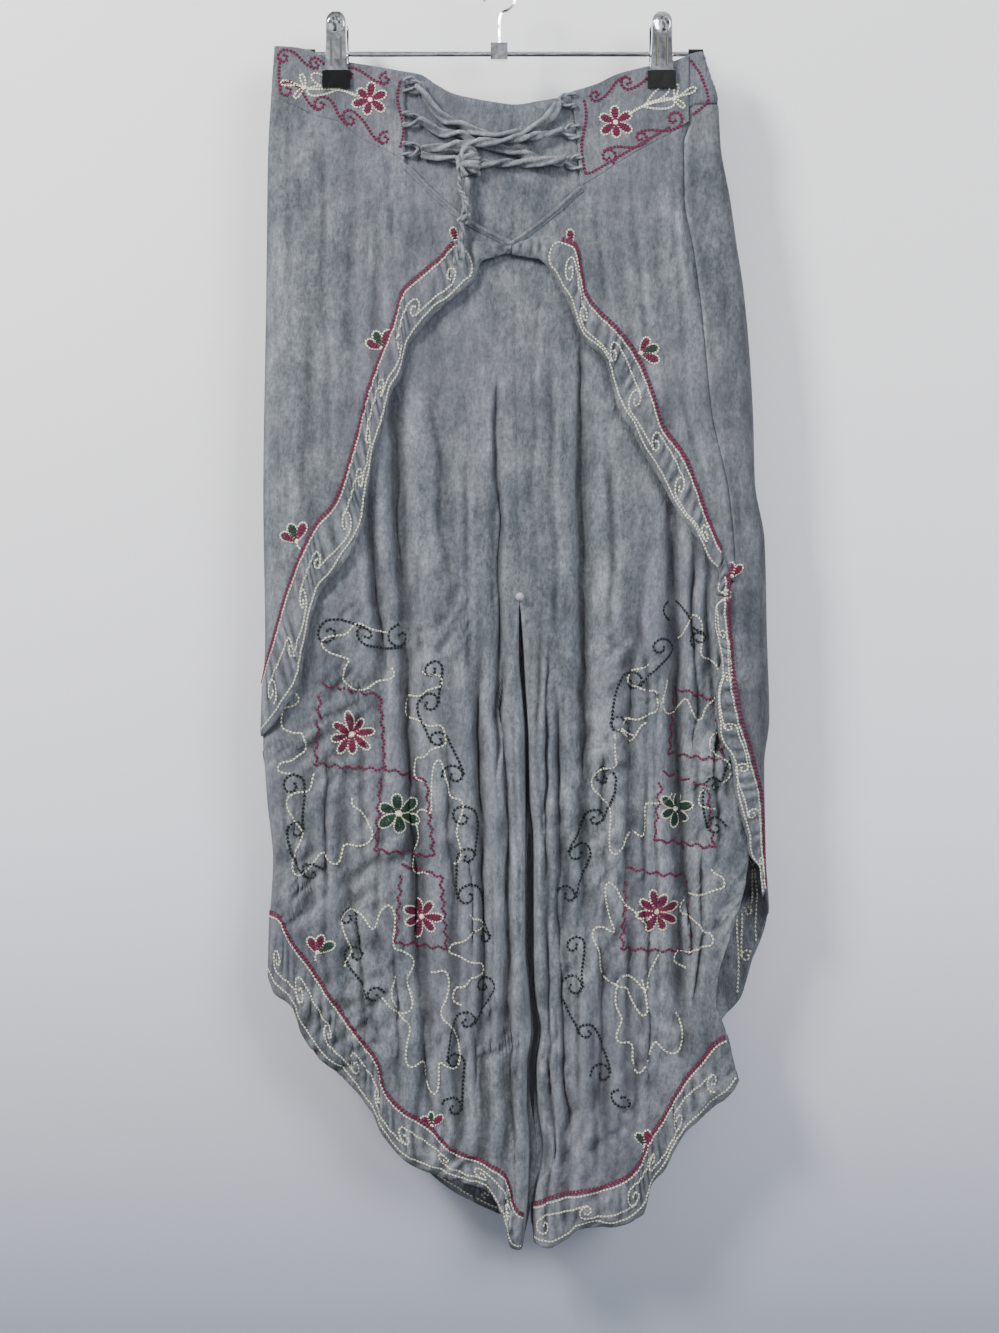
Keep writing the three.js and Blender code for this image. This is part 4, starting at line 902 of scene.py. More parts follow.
def make_panels():
    x, z = panel_grid(SIDE_LEFT.at, lambda z: 0 * z + 10.1, dense_start,
                      left_overlay_top, OVERLAY_EDGE_LEFT.at, 90, 150)
    panel("overlay_left", points_of(x, seamed_overlay_y(x, z), z), -1)
    x, z = panel_grid(lambda z: 0 * z + 10.5, right_side_seam, even,
                      right_overlay_top, OVERLAY_EDGE_RIGHT.at, 96, 130)
    panel("overlay_right", points_of(x, overlay_y(x, z) + seam_dip(x, z), z), -1)

    def left_start(z):
        return SIDE_LEFT.at(z) + under_inset(z) + 5 * smooth(-300, -100, z)

    x, z = panel_grid(left_start, left_inseam, dense_ends, WAIST_FRONT.at, HEM_FRONT_LEFT.at, 160, 160)
    panel("front_panel_left", points_of(x, seamed_front(x, z, left_under_y), z), -1)
    x, z = panel_grid(right_inseam, FRONT_SIDE_RIGHT.at, dense_ends,
                      WAIST_FRONT.at, HEM_FRONT_RIGHT.at, 160, 160)
    panel("front_panel_right", points_of(x, seamed_front(x, z, right_under_y), z), -1)

    x, z = panel_grid(lambda z: SIDE_LEFT.at(z) + 2.4 * smooth(-640, -660, z), left_inseam, dense_ends,
                      back_top, HEM_BACK_LEFT.at, 110, 120)
    y = np.maximum(left_back_y(x, z), middle_at(x, z) + SEAM / 2)
    panel("back_panel_left", points_of(x, y, z), 1)
    rows = 120
    x, z = panel_grid(right_inseam, SIDE_RIGHT.at, dense_end, back_top, HEM_BACK_RIGHT.at, 104, rows)
    y = np.maximum(right_back_y(x, z), middle_at(x, z))
    panel("back_panel_right", np.concatenate([points_of(x, y, z), side_flap(rows)], axis=0), 1)


def make_yokes():
    x, z = panel_grid(SIDE_LEFT.at, lambda z: 0 * z + YOKE_SEAM_LEFT_X, dense_start,
                      YOKE_TOP_LEFT.at, YOKE_LOW_LEFT.at, 70, 46)
    panel("yoke_left", points_of(x, seamed_overlay_y(x, z), z), -1, slot="yoke_gauze")
    x, z = panel_grid(YOKE_SEAM_RIGHT.at, right_side_seam, even,
                      YOKE_TOP_RIGHT.at, YOKE_LOW_RIGHT.at, 70, 46)
    panel("yoke_right", points_of(x, overlay_y(x, z), z), -1, slot="yoke_gauze")


def make_waistband():
    """Shirred strip: fine ribs across the whole band, round the fold on the right."""
    ribs, per_rib, rows = 150, 5, 10
    share = np.linspace(0.0, 1.0, ribs * per_rib + 1)[:, None]
    down = np.linspace(0.0, 1.0, rows)[None, :]
    level = -64 - WAISTBAND_HEIGHT * down
    left, right = SIDE_LEFT.at(level), SIDE_RIGHT.at(level)
    front = SIDE_SEAM_RIGHT.at(level) + SEAM / 2
    along = share * (right - left + right - front)
    on_front = along > right - left
    x = np.where(on_front, 2 * right - left - along, left + along)
    z = WAIST_BACK.at(x) - WAISTBAND_HEIGHT * down
    y = np.where(on_front, lapped_y(x, z), np.maximum(left_back_y(x, z), middle_at(x, z) + SEAM / 2))
    points = points_of(x, y, z)
    normals = facing_normals(points, 1)
    drift = 0.8 * noise(share * 90, down * 3 + 0 * share, 51)
    rib = np.cos(2 * math.pi * (ribs * share + drift))[..., None]
    channel = np.cos(2 * math.pi * 4 * down + 0 * share)[..., None]
    points = points + normals * (0.30 * rib - 0.10 * channel)
    piece = wall("back_waistband_cloth", points, 1, GAUZE_SHIRRED, thickness=1.0)
    replace(piece, "back_waistband", slot="shirred_gauze")


make_panels()
make_yokes()
make_waistband()


# Borders: puffed, puckered strips that lie on the edges of the panels
def line_points(table, start, end, count, raised=0.0):
    """Points in x and z along an outline, at equal steps."""
    x = np.linspace(start, end, 400)
    return resample(np.stack([x, table.at(x) + raised], axis=1), count)


BORDER_LIFT = 1.5
GATHER_PITCH = 13.0
BACK_BAND_WIDTH = 31.0


def border(name, node, inner, edge, height_y, facing, seed, puff, columns):
    """Strip between two lines: a pillowy roll with gathers of uneven pitch across it."""
    inner, edge = resample(inner, columns), resample(edge, columns)
    t = np.linspace(0.0, 1.0, 15)[None, :]
    x = inner[:, :1] * (1 - t) + edge[:, :1] * t
    z = inner[:, 1:] * (1 - t) + edge[:, 1:] * t
    s = np.linspace(0.0, travelled(edge)[-1], columns)[:, None]
    still = 0 * s
    phase = (s / GATHER_PITCH + 1.4 * noise(s / 37.0, still + 3.0, seed)
             + 0.25 * noise(s / 9.0, t * 2.0, seed + 1))
    gather = np.sin(2 * math.pi * phase)
    fine = noise(s / 3.6, t * 2.5, seed + 2)
    swell = 0.55 + 0.45 * noise(s / 30.0, still + 1.0, seed + 3)
    round_t = np.sin(math.pi * np.clip(t * 1.08, 0, 1)) ** 0.8
    lift = BORDER_LIFT + (puff * swell + 1.05 * gather + 0.75 * fine) * round_t
    lift = lift - 1.6 * smooth(0.86, 1.0, t) * swell
    wave = 1.6 * noise(s / 14.0, still + 5.0, seed + 4) * smooth(0.4, 1.0, t)
    across = unit(edge - inner)
    x = x + wave * across[:, :1]
    z = z + wave * across[:, 1:]
    points = points_of(x, height_y(x, z) + facing * lift, z)
    piece = wall(name, points, facing, GAUZE, thickness=1.0)
    replace(piece, node, slot="border_gauze")
    return x, points[..., 1], z


def slit_y(x, z):
    return lapped_y(x, z) - 0.8 * smooth(-560, -520, z)


# Name, CAD node, carrier, inner line with its ends and rise, edge with its ends, height, side,
# seed, puff and columns of each border
BORDERS = [
    ("overlay_left", "overlay_border_left", "overlay_left", OVERLAY_PIPING_LEFT, 10.0, -203.5, 0.0,
     OVERLAY_EDGE_LEFT, 10.0, -203.5, seamed_overlay_y, -1, 71, 2.6, 330),
    ("overlay_right", "overlay_border_right", "overlay_right", OVERLAY_PIPING_RIGHT, 10.6, 189.0, 0.0,
     OVERLAY_EDGE_RIGHT, 10.6, 186.5, overlay_y, -1, 72, 2.6, 250),
    ("front_left", "front_hem_band_left", "front_panel_left", PIPING_FRONT_LEFT, -197.0, 21.0, 0.0,
     HEM_FRONT_LEFT, -198.0, 18.5, left_under_y, -1, 73, 2.0, 250),
    ("front_right", "front_hem_band_right", "front_panel_right", PIPING_FRONT_RIGHT, 29.5, 194.0, 0.0,
     HEM_FRONT_RIGHT, 30.0, 203.5, right_under_y, -1, 74, 2.0, 210),
    ("back_left", "back_hem_band_left", "back_panel_left", HEM_BACK_LEFT, -200.0, 21.0, BACK_BAND_WIDTH,
     HEM_BACK_LEFT, -203.0, 21.0, left_back_y, 1, 75, 2.0, 250),
    ("back_right", "back_hem_band_right", "back_panel_right", HEM_BACK_RIGHT, 29.0, 228.0, BACK_BAND_WIDTH,
     HEM_BACK_RIGHT, 29.0, 229.5, right_back_y, 1, 76, 2.0, 220)]


def make_borders():
    bands = {}
    for (key, node, carrier, inner, inner_start, inner_end, raised, edge, start, end,
         height_y, facing, seed, puff, columns) in BORDERS:
        name = f"{node.replace('_band', '')}_cloth"
        bands[key] = border(
            name, node, line_points(inner, inner_start, inner_end, 260, raised),
            line_points(edge, start, end, 260), height_y, facing, seed, puff, columns)
    z = np.linspace(-497.0, -775.0, 220)
    side = SIDE_RIGHT.at(z)
    inner = np.stack([np.minimum(SLIT_PIPING_RIGHT.at(z), side - 2.0), z], axis=1)
    edge_x = np.where(z > SLIT_TOP_Z, 183.5 + 3.0 * smooth(SLIT_TOP_Z, -500, z), SLIT_EDGE_RIGHT.at(z))
    edge = np.stack([np.minimum(edge_x, side - 5.0), z - 9.0], axis=1)
    bands["slit"] = border("slit_border_right_cloth", "slit_border_right",
                           inner, edge, slit_y, -1, 77, 2.2, 220)
    return bands


bands = make_borders()


# Lacing: loops at the yokes' inner edges, crossing rows and the knot, all of twisted gauze
LOOP_HEIGHT, LOOP_REACH = 9.0, 11.0
LACE_REST_Y = -16.6
LOOPS = [
    ("left_top", 1, -79, -92), ("left_middle", 1, -79, -121.5), ("left_bottom", 1, -79, -147),
    ("right_top", -1, 61.5, -105.5), ("right_middle", -1, 65, -132), ("right_bottom", -1, 67, -158.5)]
LACE_ROWS = [
    ("lace_row_1", 6.0, [(-70, -91, -15.6), (-66, -97, -16.6), (-58, -110, -16.6), (-47, -121, -16.6),
                         (-33, -126.5, -16.6), (-18, -133, -16.6), (0, -136, -16.6),
                         (20, -133, -16.6), (35, -126, -16.6), (44, -118, -16.6), (51, -107, -16.4)]),
    ("lace_row_2", 5.6, [(-69, -121, -16.4), (-56, -130, -16.6), (-48, -134, -16.6),
                         (-38, -133.5, -16.6), (-20, -141, -16.6), (0, -146.5, -16.6),
                         (20, -152, -16.6), (34, -155, -16.6), (55, -159, -16.6)]),
    ("lace_row_3", 5.4, [(-67, -148, -17), (-54, -147, -20), (-40, -145, -21.6), (-20, -143.5, -21.6),
                         (0, -141.5, -21.6), (18, -139, -21.6), (34, -136.5, -20), (54, -131, -17)]),
    ("lace_row_4", 5.6, [(-67, -152, -17), (-56, -153.5, -16.6), (-46, -154.5, -16.8),
                         (-36, -156.5, -17.4)]),
    ("lace_row_5", 5.8, [(-17, -160, -17.2), (0, -159.5, -16.8), (17, -159, -16.6),
                         (32, -159.5, -19.5), (45, -158.5, -21.6), (57, -156, -19.5)]),
]
KNOT_CENTRE = (-26.0, -19.0, -160.0)


def smooth_route(points, count=90):
    """Points in millimetres, x z y, to an even smooth route in metres, x y z."""
    points = np.array(points, dtype=float)[:, [0, 2, 1]]
    length = travelled(points)
    at = np.linspace(0.0, length[-1], count)
    route = np.stack([Table("s v", *zip(length, points[:, k])).at(at) for k in range(3)], axis=1)
    return route * MM


def gauze_cord(name, points, diameter, turns, flat, seed):
    return lace_mesh(name, smooth_route(points), diameter * MM, turns, flat, seed, 14, 0.0012)


def make_loops():
    for k, (place_name, side, x, z) in enumerate(LOOPS):
        half, reach = 0.5 * LOOP_HEIGHT, side * LOOP_REACH
        root_x = x - 4.0 * side
        root_y = float(overlay_y(np.array(root_x), np.array(z))) - 2.0
        y = LACE_REST_Y + 0.6
        bow = [(root_x, z + half, root_y), (x + 0.3 * reach, z + half + 0.6, y),
               (x + 0.7 * reach, z + 3.2, y), (x + reach, z, y), (x + 0.7 * reach, z - 3.2, y),
               (x + 0.3 * reach, z - half - 0.4, y),
               (root_x, z - half, root_y)]
        piece = gauze_cord(f"lace_loop_{place_name}_cord", bow, 3.4, 45.0, 0.36, 1.1 * k)
        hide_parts(f"lace_loop_{place_name}")


def make_rows():
    for k, (name, diameter, points) in enumerate(LACE_ROWS):
        piece = gauze_cord(f"{name}_cord", points, 1.08 * diameter, 15.0 + 3 * (k % 3), 0.42, 0.9 * k)
        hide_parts(name)


def make_knot():
    """Overhand knot: two wraps across, a bight up the left side and the strands that leave it."""
    cx, cy, cz = KNOT_CENTRE
    wraps = []
    for k, (tilt, radius_x, radius_z, drop) in enumerate(((32, 8.0, 4.2, 2.5), (-18, 7.6, 4.6, -5.0))):
        points = []
        for step in range(17):
            angle = 2 * math.pi * step / 16
            x = radius_x * math.cos(angle)
            z = 0.35 * radius_z * math.sin(angle) + x * math.tan(math.radians(tilt)) * 0.6
            points.append((cx + x, cz + drop + z, cy - 4.2 * math.sin(angle)))
        wraps.append(gauze_cord(f"lace_knot_wrap_{k}", points, 6.4, 22.0, 0.36, 2.0 + k))
    bight = [(cx - 3.0, cz - 12.0, cy - 2.5), (cx - 6.0, cz - 4.0, cy - 5.0), (cx - 7.0, cz + 5.0, cy - 4.6),
             (cx - 3.0, cz + 11.0, cy - 3.0), (cx + 2.0, cz + 11.5, cy - 1.0), (cx + 5.0, cz + 7.0, cy - 0.6)]
    over = [(cx - 11.0, cz + 4.0, cy + 1.5), (cx - 4.0, cz + 2.0, cy - 3.6), (cx + 4.0, cz - 2.0, cy - 4.0),
            (cx + 10.0, cz - 0.5, cy + 1.8)]
    pieces = wraps + [gauze_cord("lace_knot_bight", bight, 5.4, 24.0, 0.36, 4.4),
                      gauze_cord("lace_knot_over", over, 5.2, 24.0, 0.36, 5.2)]
    knot = joined("lace_knot_cord", pieces)
    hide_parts("lace_knot")


make_loops()
make_rows()
make_knot()


# Turned edge of the neckline, a narrow roll on the overlays' top edges; the right one laps over
def neck_hem(name, table, start, end, height_y, seed):
    line = line_points(table, start, end, 160)
    along = unit(np.gradient(line, axis=0))
    aside = np.stack([along[:, 1], -along[:, 0]], axis=1)
    aside *= np.where(aside[:, 1:] > 0, -1.0, 1.0)
    t = np.linspace(0.0, 1.0, 9)[None, :]
    width = 5.2
    x = line[:, :1] + aside[:, :1] * (width * t - 0.8)
    z = line[:, 1:] + aside[:, 1:] * (width * t - 0.8)
    roll = 0.7 + 1.7 * np.sin(math.pi * np.clip(t * 1.4, 0, 1)) + 0.4 * noise(x / 6.0, z / 6.0, seed)
    y = height_y(x, z) - 0.5 - roll
    piece = wall(name, points_of(x, y, z), -1, GAUZE, thickness=0.7)
    return piece


neck_hem("neck_edge_left", NECK_LEFT, -78.0, 10.0, seamed_overlay_y, 91)
neck_hem("neck_edge_right", NECK_RIGHT, 5.0, 68.5,
         lambda x, z: overlay_y(x, z) - 0.9 * smooth(20, 10, x), 92)


# Embroidery: chain stitches laid on the cloth, each stitch two slim strands of thread
STRAND_SIDES = 4

# Stitch sizes: length of one stitch and width of its thread
PETAL_OUTLINE, PETAL_FILL, FLOWER_CENTRE, SPRIG_STEM = (2.3, 1.35), (2.4, 2.6), (1.8, 1.5), (2.3, 1.5)
LEAF_STEM, LEAF = (2.4, 2.0), (2.5, 1.5)
YOKE_SCROLL, YOKE_EDGING = (3.0, 2.3), (3.0, 2.2)
PIPING, BAND_LINE, BAND_CURL = (3.4, 2.1), (3.0, 1.2), (2.9, 1.25)
BOX, VINE, WANDER = (3.0, 2.1), (3.4, 2.0), (3.3, 1.35)
INNER_EDGE, INNER_LINE, INNER_CURL = (3.6, 1.3), (3.4, 1.3), (3.2, 1.3)


def strand_shape():
    """Slim grain of thread along X, one unit long and one unit wide."""
    rings = [(-0.26, 0.46), (0.24, 0.5)]
    verts = [(-0.56, 0.0, 0.0)]
    for at, radius in rings:
        for k in range(STRAND_SIDES):
            angle = 2 * math.pi * k / STRAND_SIDES
            verts.append((at, radius * math.cos(angle), radius * math.sin(angle)))
    verts.append((0.56, 0.0, 0.0))
    faces = []
    for k in range(STRAND_SIDES):
        following = (k + 1) % STRAND_SIDES
        first, second = 1 + k, 1 + following
        faces.append((0, second, first))
        faces.append((first, second, second + STRAND_SIDES))
        faces.append((first, second + STRAND_SIDES, first + STRAND_SIDES))
        faces.append((2 * STRAND_SIDES + 1, first + STRAND_SIDES, second + STRAND_SIDES))
    return np.array(verts), np.array(faces)


STRAND_VERTS, STRAND_FACES = strand_shape()
threads = {}


def chain(group, colour, points, normals, size):
    """Chain stitches along a line on the cloth, kept until the piece is made."""
    pitch, width = size
    length = travelled(points)
    count = max(int(length[-1] / pitch), 1)
    at = (np.arange(count) + 0.5) * length[-1] / count
    centre = along_line(at, length, points)
    normal = along_line(at, length, normals)
    ahead = along_line(np.minimum(at + 0.4 * pitch, length[-1]), length, points)
    behind = along_line(np.maximum(at - 0.4 * pitch, 0), length, points)
    tangent = unit(ahead - behind)
    normal = unit(normal - tangent * np.sum(normal * tangent, axis=1, keepdims=True))
    aside = np.cross(normal, tangent)
    grain = 0.94 * length[-1] / count
    for hand in (-1, 1):
        turn = hand * 0.32
        along = tangent * math.cos(turn) + aside * math.sin(turn)
        cross = aside * math.cos(turn) - tangent * math.sin(turn)
        middle = centre + aside * (hand * 0.24 * width)
        verts = (middle[:, None, :]
                 + along[:, None, :] * (STRAND_VERTS[None, :, 0:1] * grain)
                 + cross[:, None, :] * (STRAND_VERTS[None, :, 1:2] * 0.56 * width)
                 + normal[:, None, :] * (STRAND_VERTS[None, :, 2:3] * 0.50 * width))
        threads.setdefault((group, colour), []).append(verts)


def finish_threads():
    for (group, colour), parts in threads.items():
        verts = np.concatenate(parts, axis=0)
        count, per = verts.shape[0], verts.shape[1]
        faces = (STRAND_FACES[None, :, :] + (np.arange(count) * per)[:, None, None]).reshape(-1, 3)
        piece = mesh_object(f"stitching_{group}_{colour}", verts.reshape(-1, 3), faces,
                            THREAD[colour])


class PanelCloth:
    """Places flat motifs, drawn in x and z, on a layer of cloth."""

    def __init__(self, height_y, inside=None):
        self.height_y, self.inside = height_y, inside
        self.facing, self.lift = -1, CLOTH / 2 + 0.35

    def place(self, flat):
        x, z = flat[:, 0], flat[:, 1]
        step = 1.2
        y = self.height_y(x, z)
        slope_x = (self.height_y(x + step, z) - self.height_y(x - step, z)) / (2 * step)
        slope_z = (self.height_y(x, z + step) - self.height_y(x, z - step)) / (2 * step)
        normal = unit(np.stack([-slope_x, np.ones_like(x), -slope_z], axis=1)) * self.facing
        return np.stack([x, y, z], axis=1) + normal * self.lift, normal


class StripCloth:
    """Places motifs on a border: first coordinate along it, second across it from its inner line."""
    inside = None

    def __init__(self, band, facing, lift=0.85):
        self.points = np.stack(band, axis=2)
        self.normals = facing_normals(self.points, facing)
        edge = self.points[:, self.points.shape[1] // 2]
        self.length_at = travelled(edge)
        self.length = self.length_at[-1]
        self.width_at = np.linalg.norm(self.points[:, -1] - self.points[:, 0], axis=1)
        self.lift = lift

    def place(self, flat):
        columns, rows = self.points.shape[:2]
        i = np.interp(flat[:, 0], self.length_at, np.arange(columns))
        width = np.interp(flat[:, 0], self.length_at, self.width_at)
        j = np.clip(flat[:, 1] / width, 0.0, 1.0) * (rows - 1)
        i0 = np.clip(np.floor(i).astype(int), 0, columns - 2)
        j0 = np.clip(np.floor(j).astype(int), 0, rows - 2)
        fi, fj = (i - i0)[:, None], (j - j0)[:, None]

        def blend(grid):
            return ((grid[i0, j0] * (1 - fi) + grid[i0 + 1, j0] * fi) * (1 - fj)
                    + (grid[i0, j0 + 1] * (1 - fi) + grid[i0 + 1, j0 + 1] * fi) * fj)

        normal = blend(self.normals)
        return blend(self.points) + normal * self.lift, normal


def stitch(cloth, group, colour, flat, size):
    """Chain stitches along a flat line, in one run or in the runs that lie on the cloth."""
    fine = resample(flat, max(int(travelled(flat)[-1] / 0.8), 4))
    runs = [fine]
    if cloth.inside:
        kept = cloth.inside(fine[:, 0], fine[:, 1])
        cuts = np.flatnonzero(np.diff(kept.astype(int))) + 1
        runs = [run for run in np.split(fine, cuts) if len(run) > 4
                and cloth.inside(run[:1, 0], run[:1, 1])[0]]
    for run in runs:
        points, normals = cloth.place(run)
        chain(group, colour, points, normals, size)


def on_left_leg(x, z):
    return ((x > SIDE_LEFT.at(z) + 9.0) & (x < CENTRE_LEFT.at(z) - 6.0)
            & (z > PIPING_FRONT_LEFT.at(x) + 5.0))


def on_right_leg(x, z):
    return ((x < FRONT_SIDE_RIGHT.at(z) - 4.0) & (x > CENTRE_RIGHT.at(z) + 6.0)
            & (z > PIPING_FRONT_RIGHT.at(x) + 5.0))


def in_right_back(x, z):
    return (z > HEM_BACK_RIGHT.at(x) + 6.0) & (x < SIDE_RIGHT.at(z) - 3.0)


# Motifs, drawn flat by formula as points in millimetres, and led to their place
def heading_of(start, end):
    return math.degrees(math.atan2(end[1] - start[1], end[0] - start[0]))


def moved(points, at, angle=0.0):
    x, z = points[:, 0], points[:, 1]
    c, s = math.cos(math.radians(angle)), math.sin(math.radians(angle))
    return np.stack([at[0] + c * x - s * z, at[1] + s * x + c * z], axis=1)


def bend(start, lead, follow, end, count=14):
    """Smooth stroke between two points, pulled by two others."""
    t = np.linspace(0.0, 1.0, count)[:, None]
    return ((1 - t) ** 3 * start + 3 * t * (1 - t) ** 2 * lead + 3 * t**2 * (1 - t) * follow
            + t**3 * end)


def running_scroll(length, count, radius, turns=1.25, alternate=False, seed=0.0):
    """Strokes of a row of curls: each opens over its top and runs down to the foot of the next."""
    pitch = length / count
    centres, sides, sizes = [], [], []
    for k in range(count):
        centres.append(np.array([(k + 0.35 + 0.05 * math.sin(2.1 * k + seed)) * pitch,
                                 0.10 * radius * math.sin(1.7 * k + seed)]))
        sides.append(-1 if alternate and k % 2 else 1)
        sizes.append(radius * (1.0 + 0.13 * math.sin(3.3 * k + 1.9 * seed)))
    strokes = []
    for k in range(count):
        t = np.linspace(0.0, 1.0, 40)
        r = sizes[k] * (0.14 + 0.86 * t)
        angle = 0.5 * math.pi + 2 * math.pi * turns * (1 - t)
        curl = centres[k] + np.stack([r * np.cos(angle), sides[k] * r * np.sin(angle)], axis=1)
        if k + 1 < count:
            foot = centres[k + 1] + np.array([0.1, -0.74 * sides[k + 1]]) * sizes[k + 1]
            reach = np.array([0.46 * pitch, 0.0])
            curl = np.vstack([curl, bend(curl[-1], curl[-1] + reach, foot - reach, foot)[1:]])
        strokes.append(curl)
    return strokes


def petal(length, width):
    t = np.linspace(0.0, 2 * math.pi, 30)
    x = length * 0.5 * (1 - np.cos(t))
    y = width * 0.5 * np.sin(t) * (0.45 + 0.75 * x / length)
    return np.stack([x, y], axis=1)


def filled_petal(cloth, group, fill, at, angle, length, width, outline="cream"):
    stitch(cloth, group, outline, moved(petal(length, width), at, angle), PETAL_OUTLINE)
    for share in (0.66, 0.30):
        inner = petal(length * (0.52 + 0.3 * share), width * share) + np.array([length * 0.14, 0.0])
        stitch(cloth, group, fill, moved(inner, at, angle), PETAL_FILL)


def flower(cloth, group, fill, at, petals, radius, start=0.0):
    for k in range(petals):
        angle = start + 360.0 * k / petals + 5.0 * math.sin(5.1 * k + at[0])
        reach = radius * (1.0 + 0.09 * math.sin(3.7 * k + at[1]))
        filled_petal(cloth, group, fill, at, angle, reach, 3.3 * radius / petals)
    ring = np.linspace(0.0, 2 * math.pi, 12)
    centre = np.stack([0.1 * radius * np.cos(ring), 0.1 * radius * np.sin(ring)], axis=1)
    stitch(cloth, group, "cream", centre + np.array(at), FLOWER_CENTRE)


def sprig(cloth, group, at, angle, size, fills=("burgundy", "green", "burgundy")):
    for k, fill in enumerate(fills):
        lean = (k - (len(fills) - 1) / 2) * 44.0
        filled_petal(cloth, group, fill, at, angle + lean, size * (1.0 - 0.06 * k), 0.5 * size)
    stem = np.array([[0.0, 0.0], [-0.2 * size, 0.05 * size], [-0.45 * size, -0.03 * size]])
    stitch(cloth, group, "cream", moved(stem, at, angle), SPRIG_STEM)


def wavy_box(width, height, seed, bite=1.3, pitch=10.5, gap=0.04):
    """Box with uneven sides drawn in a small wave, left open near one corner."""
    lean = 4.0 + 2.0 * math.sin(seed)
    corners = np.array([[0, lean], [width, -lean], [width + lean, -height], [-lean, -height + lean],
                        [0, lean]], dtype=float)
    line = resample(corners, 200)[: int(200 * (1 - gap))]
    along = unit(np.gradient(line, axis=0))
    aside = np.stack([-along[:, 1], along[:, 0]], axis=1)
    s = np.linspace(0.0, 2 * (width + height) * (1 - gap), len(line))
    wave = bite * np.sin(2 * math.pi * s / pitch + 1.3 * np.sin(s / 21.0 + seed))
    return line + aside * wave[:, None]


def rounded(line, rounds=14):
    """The same line at even steps, with its corners drawn in until they turn softly."""
    return soften(resample(line, max(int(travelled(line)[-1] / 1.6), 8)), rounds)


def meander(length, seed, reach=12.0):
    """Line that wanders down in uneven bays: out, round a bulb, back through a neck and on."""
    rng = np.random.default_rng(int(10 * seed) + 3)
    side = 1.0 if rng.random() < 0.5 else -1.0
    stops = [(0.0, 0.0)]
    z = -5.0
    while z > -length:
        out = side * reach * (0.45 + 0.95 * rng.random())
        bulb = 6.0 + 11.0 * rng.random()
        lean = 7.0 * rng.random() - 2.0
        stops += [(0.20 * out, z), (out, z + lean), (out + 3.0 * side, z - bulb), (0.3 * out, z - bulb - 2.0)]
        z -= bulb + 5.0 + 9.0 * rng.random()
        side = -side
    return rounded(np.array(stops))


def lobed(width, height, lobes, seed, share=0.78):
    """Most of a ring with deep uneven lobes, like the outline of a cloud."""
    t = np.linspace(0.0, 2 * math.pi * share, 40 * lobes) + 1.7 * seed
    reach = (1.0 + 0.20 * np.sin(lobes * t + seed) + 0.17 * np.sin((lobes - 2) * t + 2.0 * seed)
             + 0.12 * np.sin((lobes + 2) * t + 3.1 * seed) + 0.06 * np.sin(3 * t + seed))
    line = np.stack([0.5 * width * reach * np.cos(t), 0.5 * height * reach * np.sin(t)], axis=1)
    return rounded(line, 6)


def vine(cloth, colour, start, end, curls, radius, seed):
    """Row of curls that turn by turns left and right, led from one point to another."""
    start, end = np.array(start, float), np.array(end, float)
    length = float(np.linalg.norm(end - start))
    for stroke in running_scroll(length, curls, radius, 1.2, True, seed):
        bowed = stroke + np.stack([0 * stroke[:, 0], 0.5 * radius * np.sin(
            math.pi * stroke[:, 0] / length * 2 + seed)], axis=1)
        stitch(cloth, "legs", colour, moved(bowed, start, heading_of(start, end)), VINE)


def leaf_stem(cloth, flower_at, reach, length, rise):
    """Stem in cream from a flower, with a long leaf and a small three-leaved end."""
    x = np.linspace(0.0, length, 40)
    line = np.stack([reach * x, rise * x / length + 2.2 * np.sin(x / 9.0)], axis=1) + np.array(flower_at)
    stitch(cloth, "yokes", "cream", line, LEAF_STEM)
    heading = math.degrees(math.atan2(rise, reach * length))
    for share, size, lean in ((0.30, 27.0, -16), (0.34, 25.0, 17), (0.86, 12.0, -62), (0.88, 12.0, 62),
                              (1.0, 13.0, 4)):
        at = line[int(share * 39)]
        stitch(cloth, "yokes", "cream", moved(petal(size, 0.36 * size), at, heading + lean), LEAF)


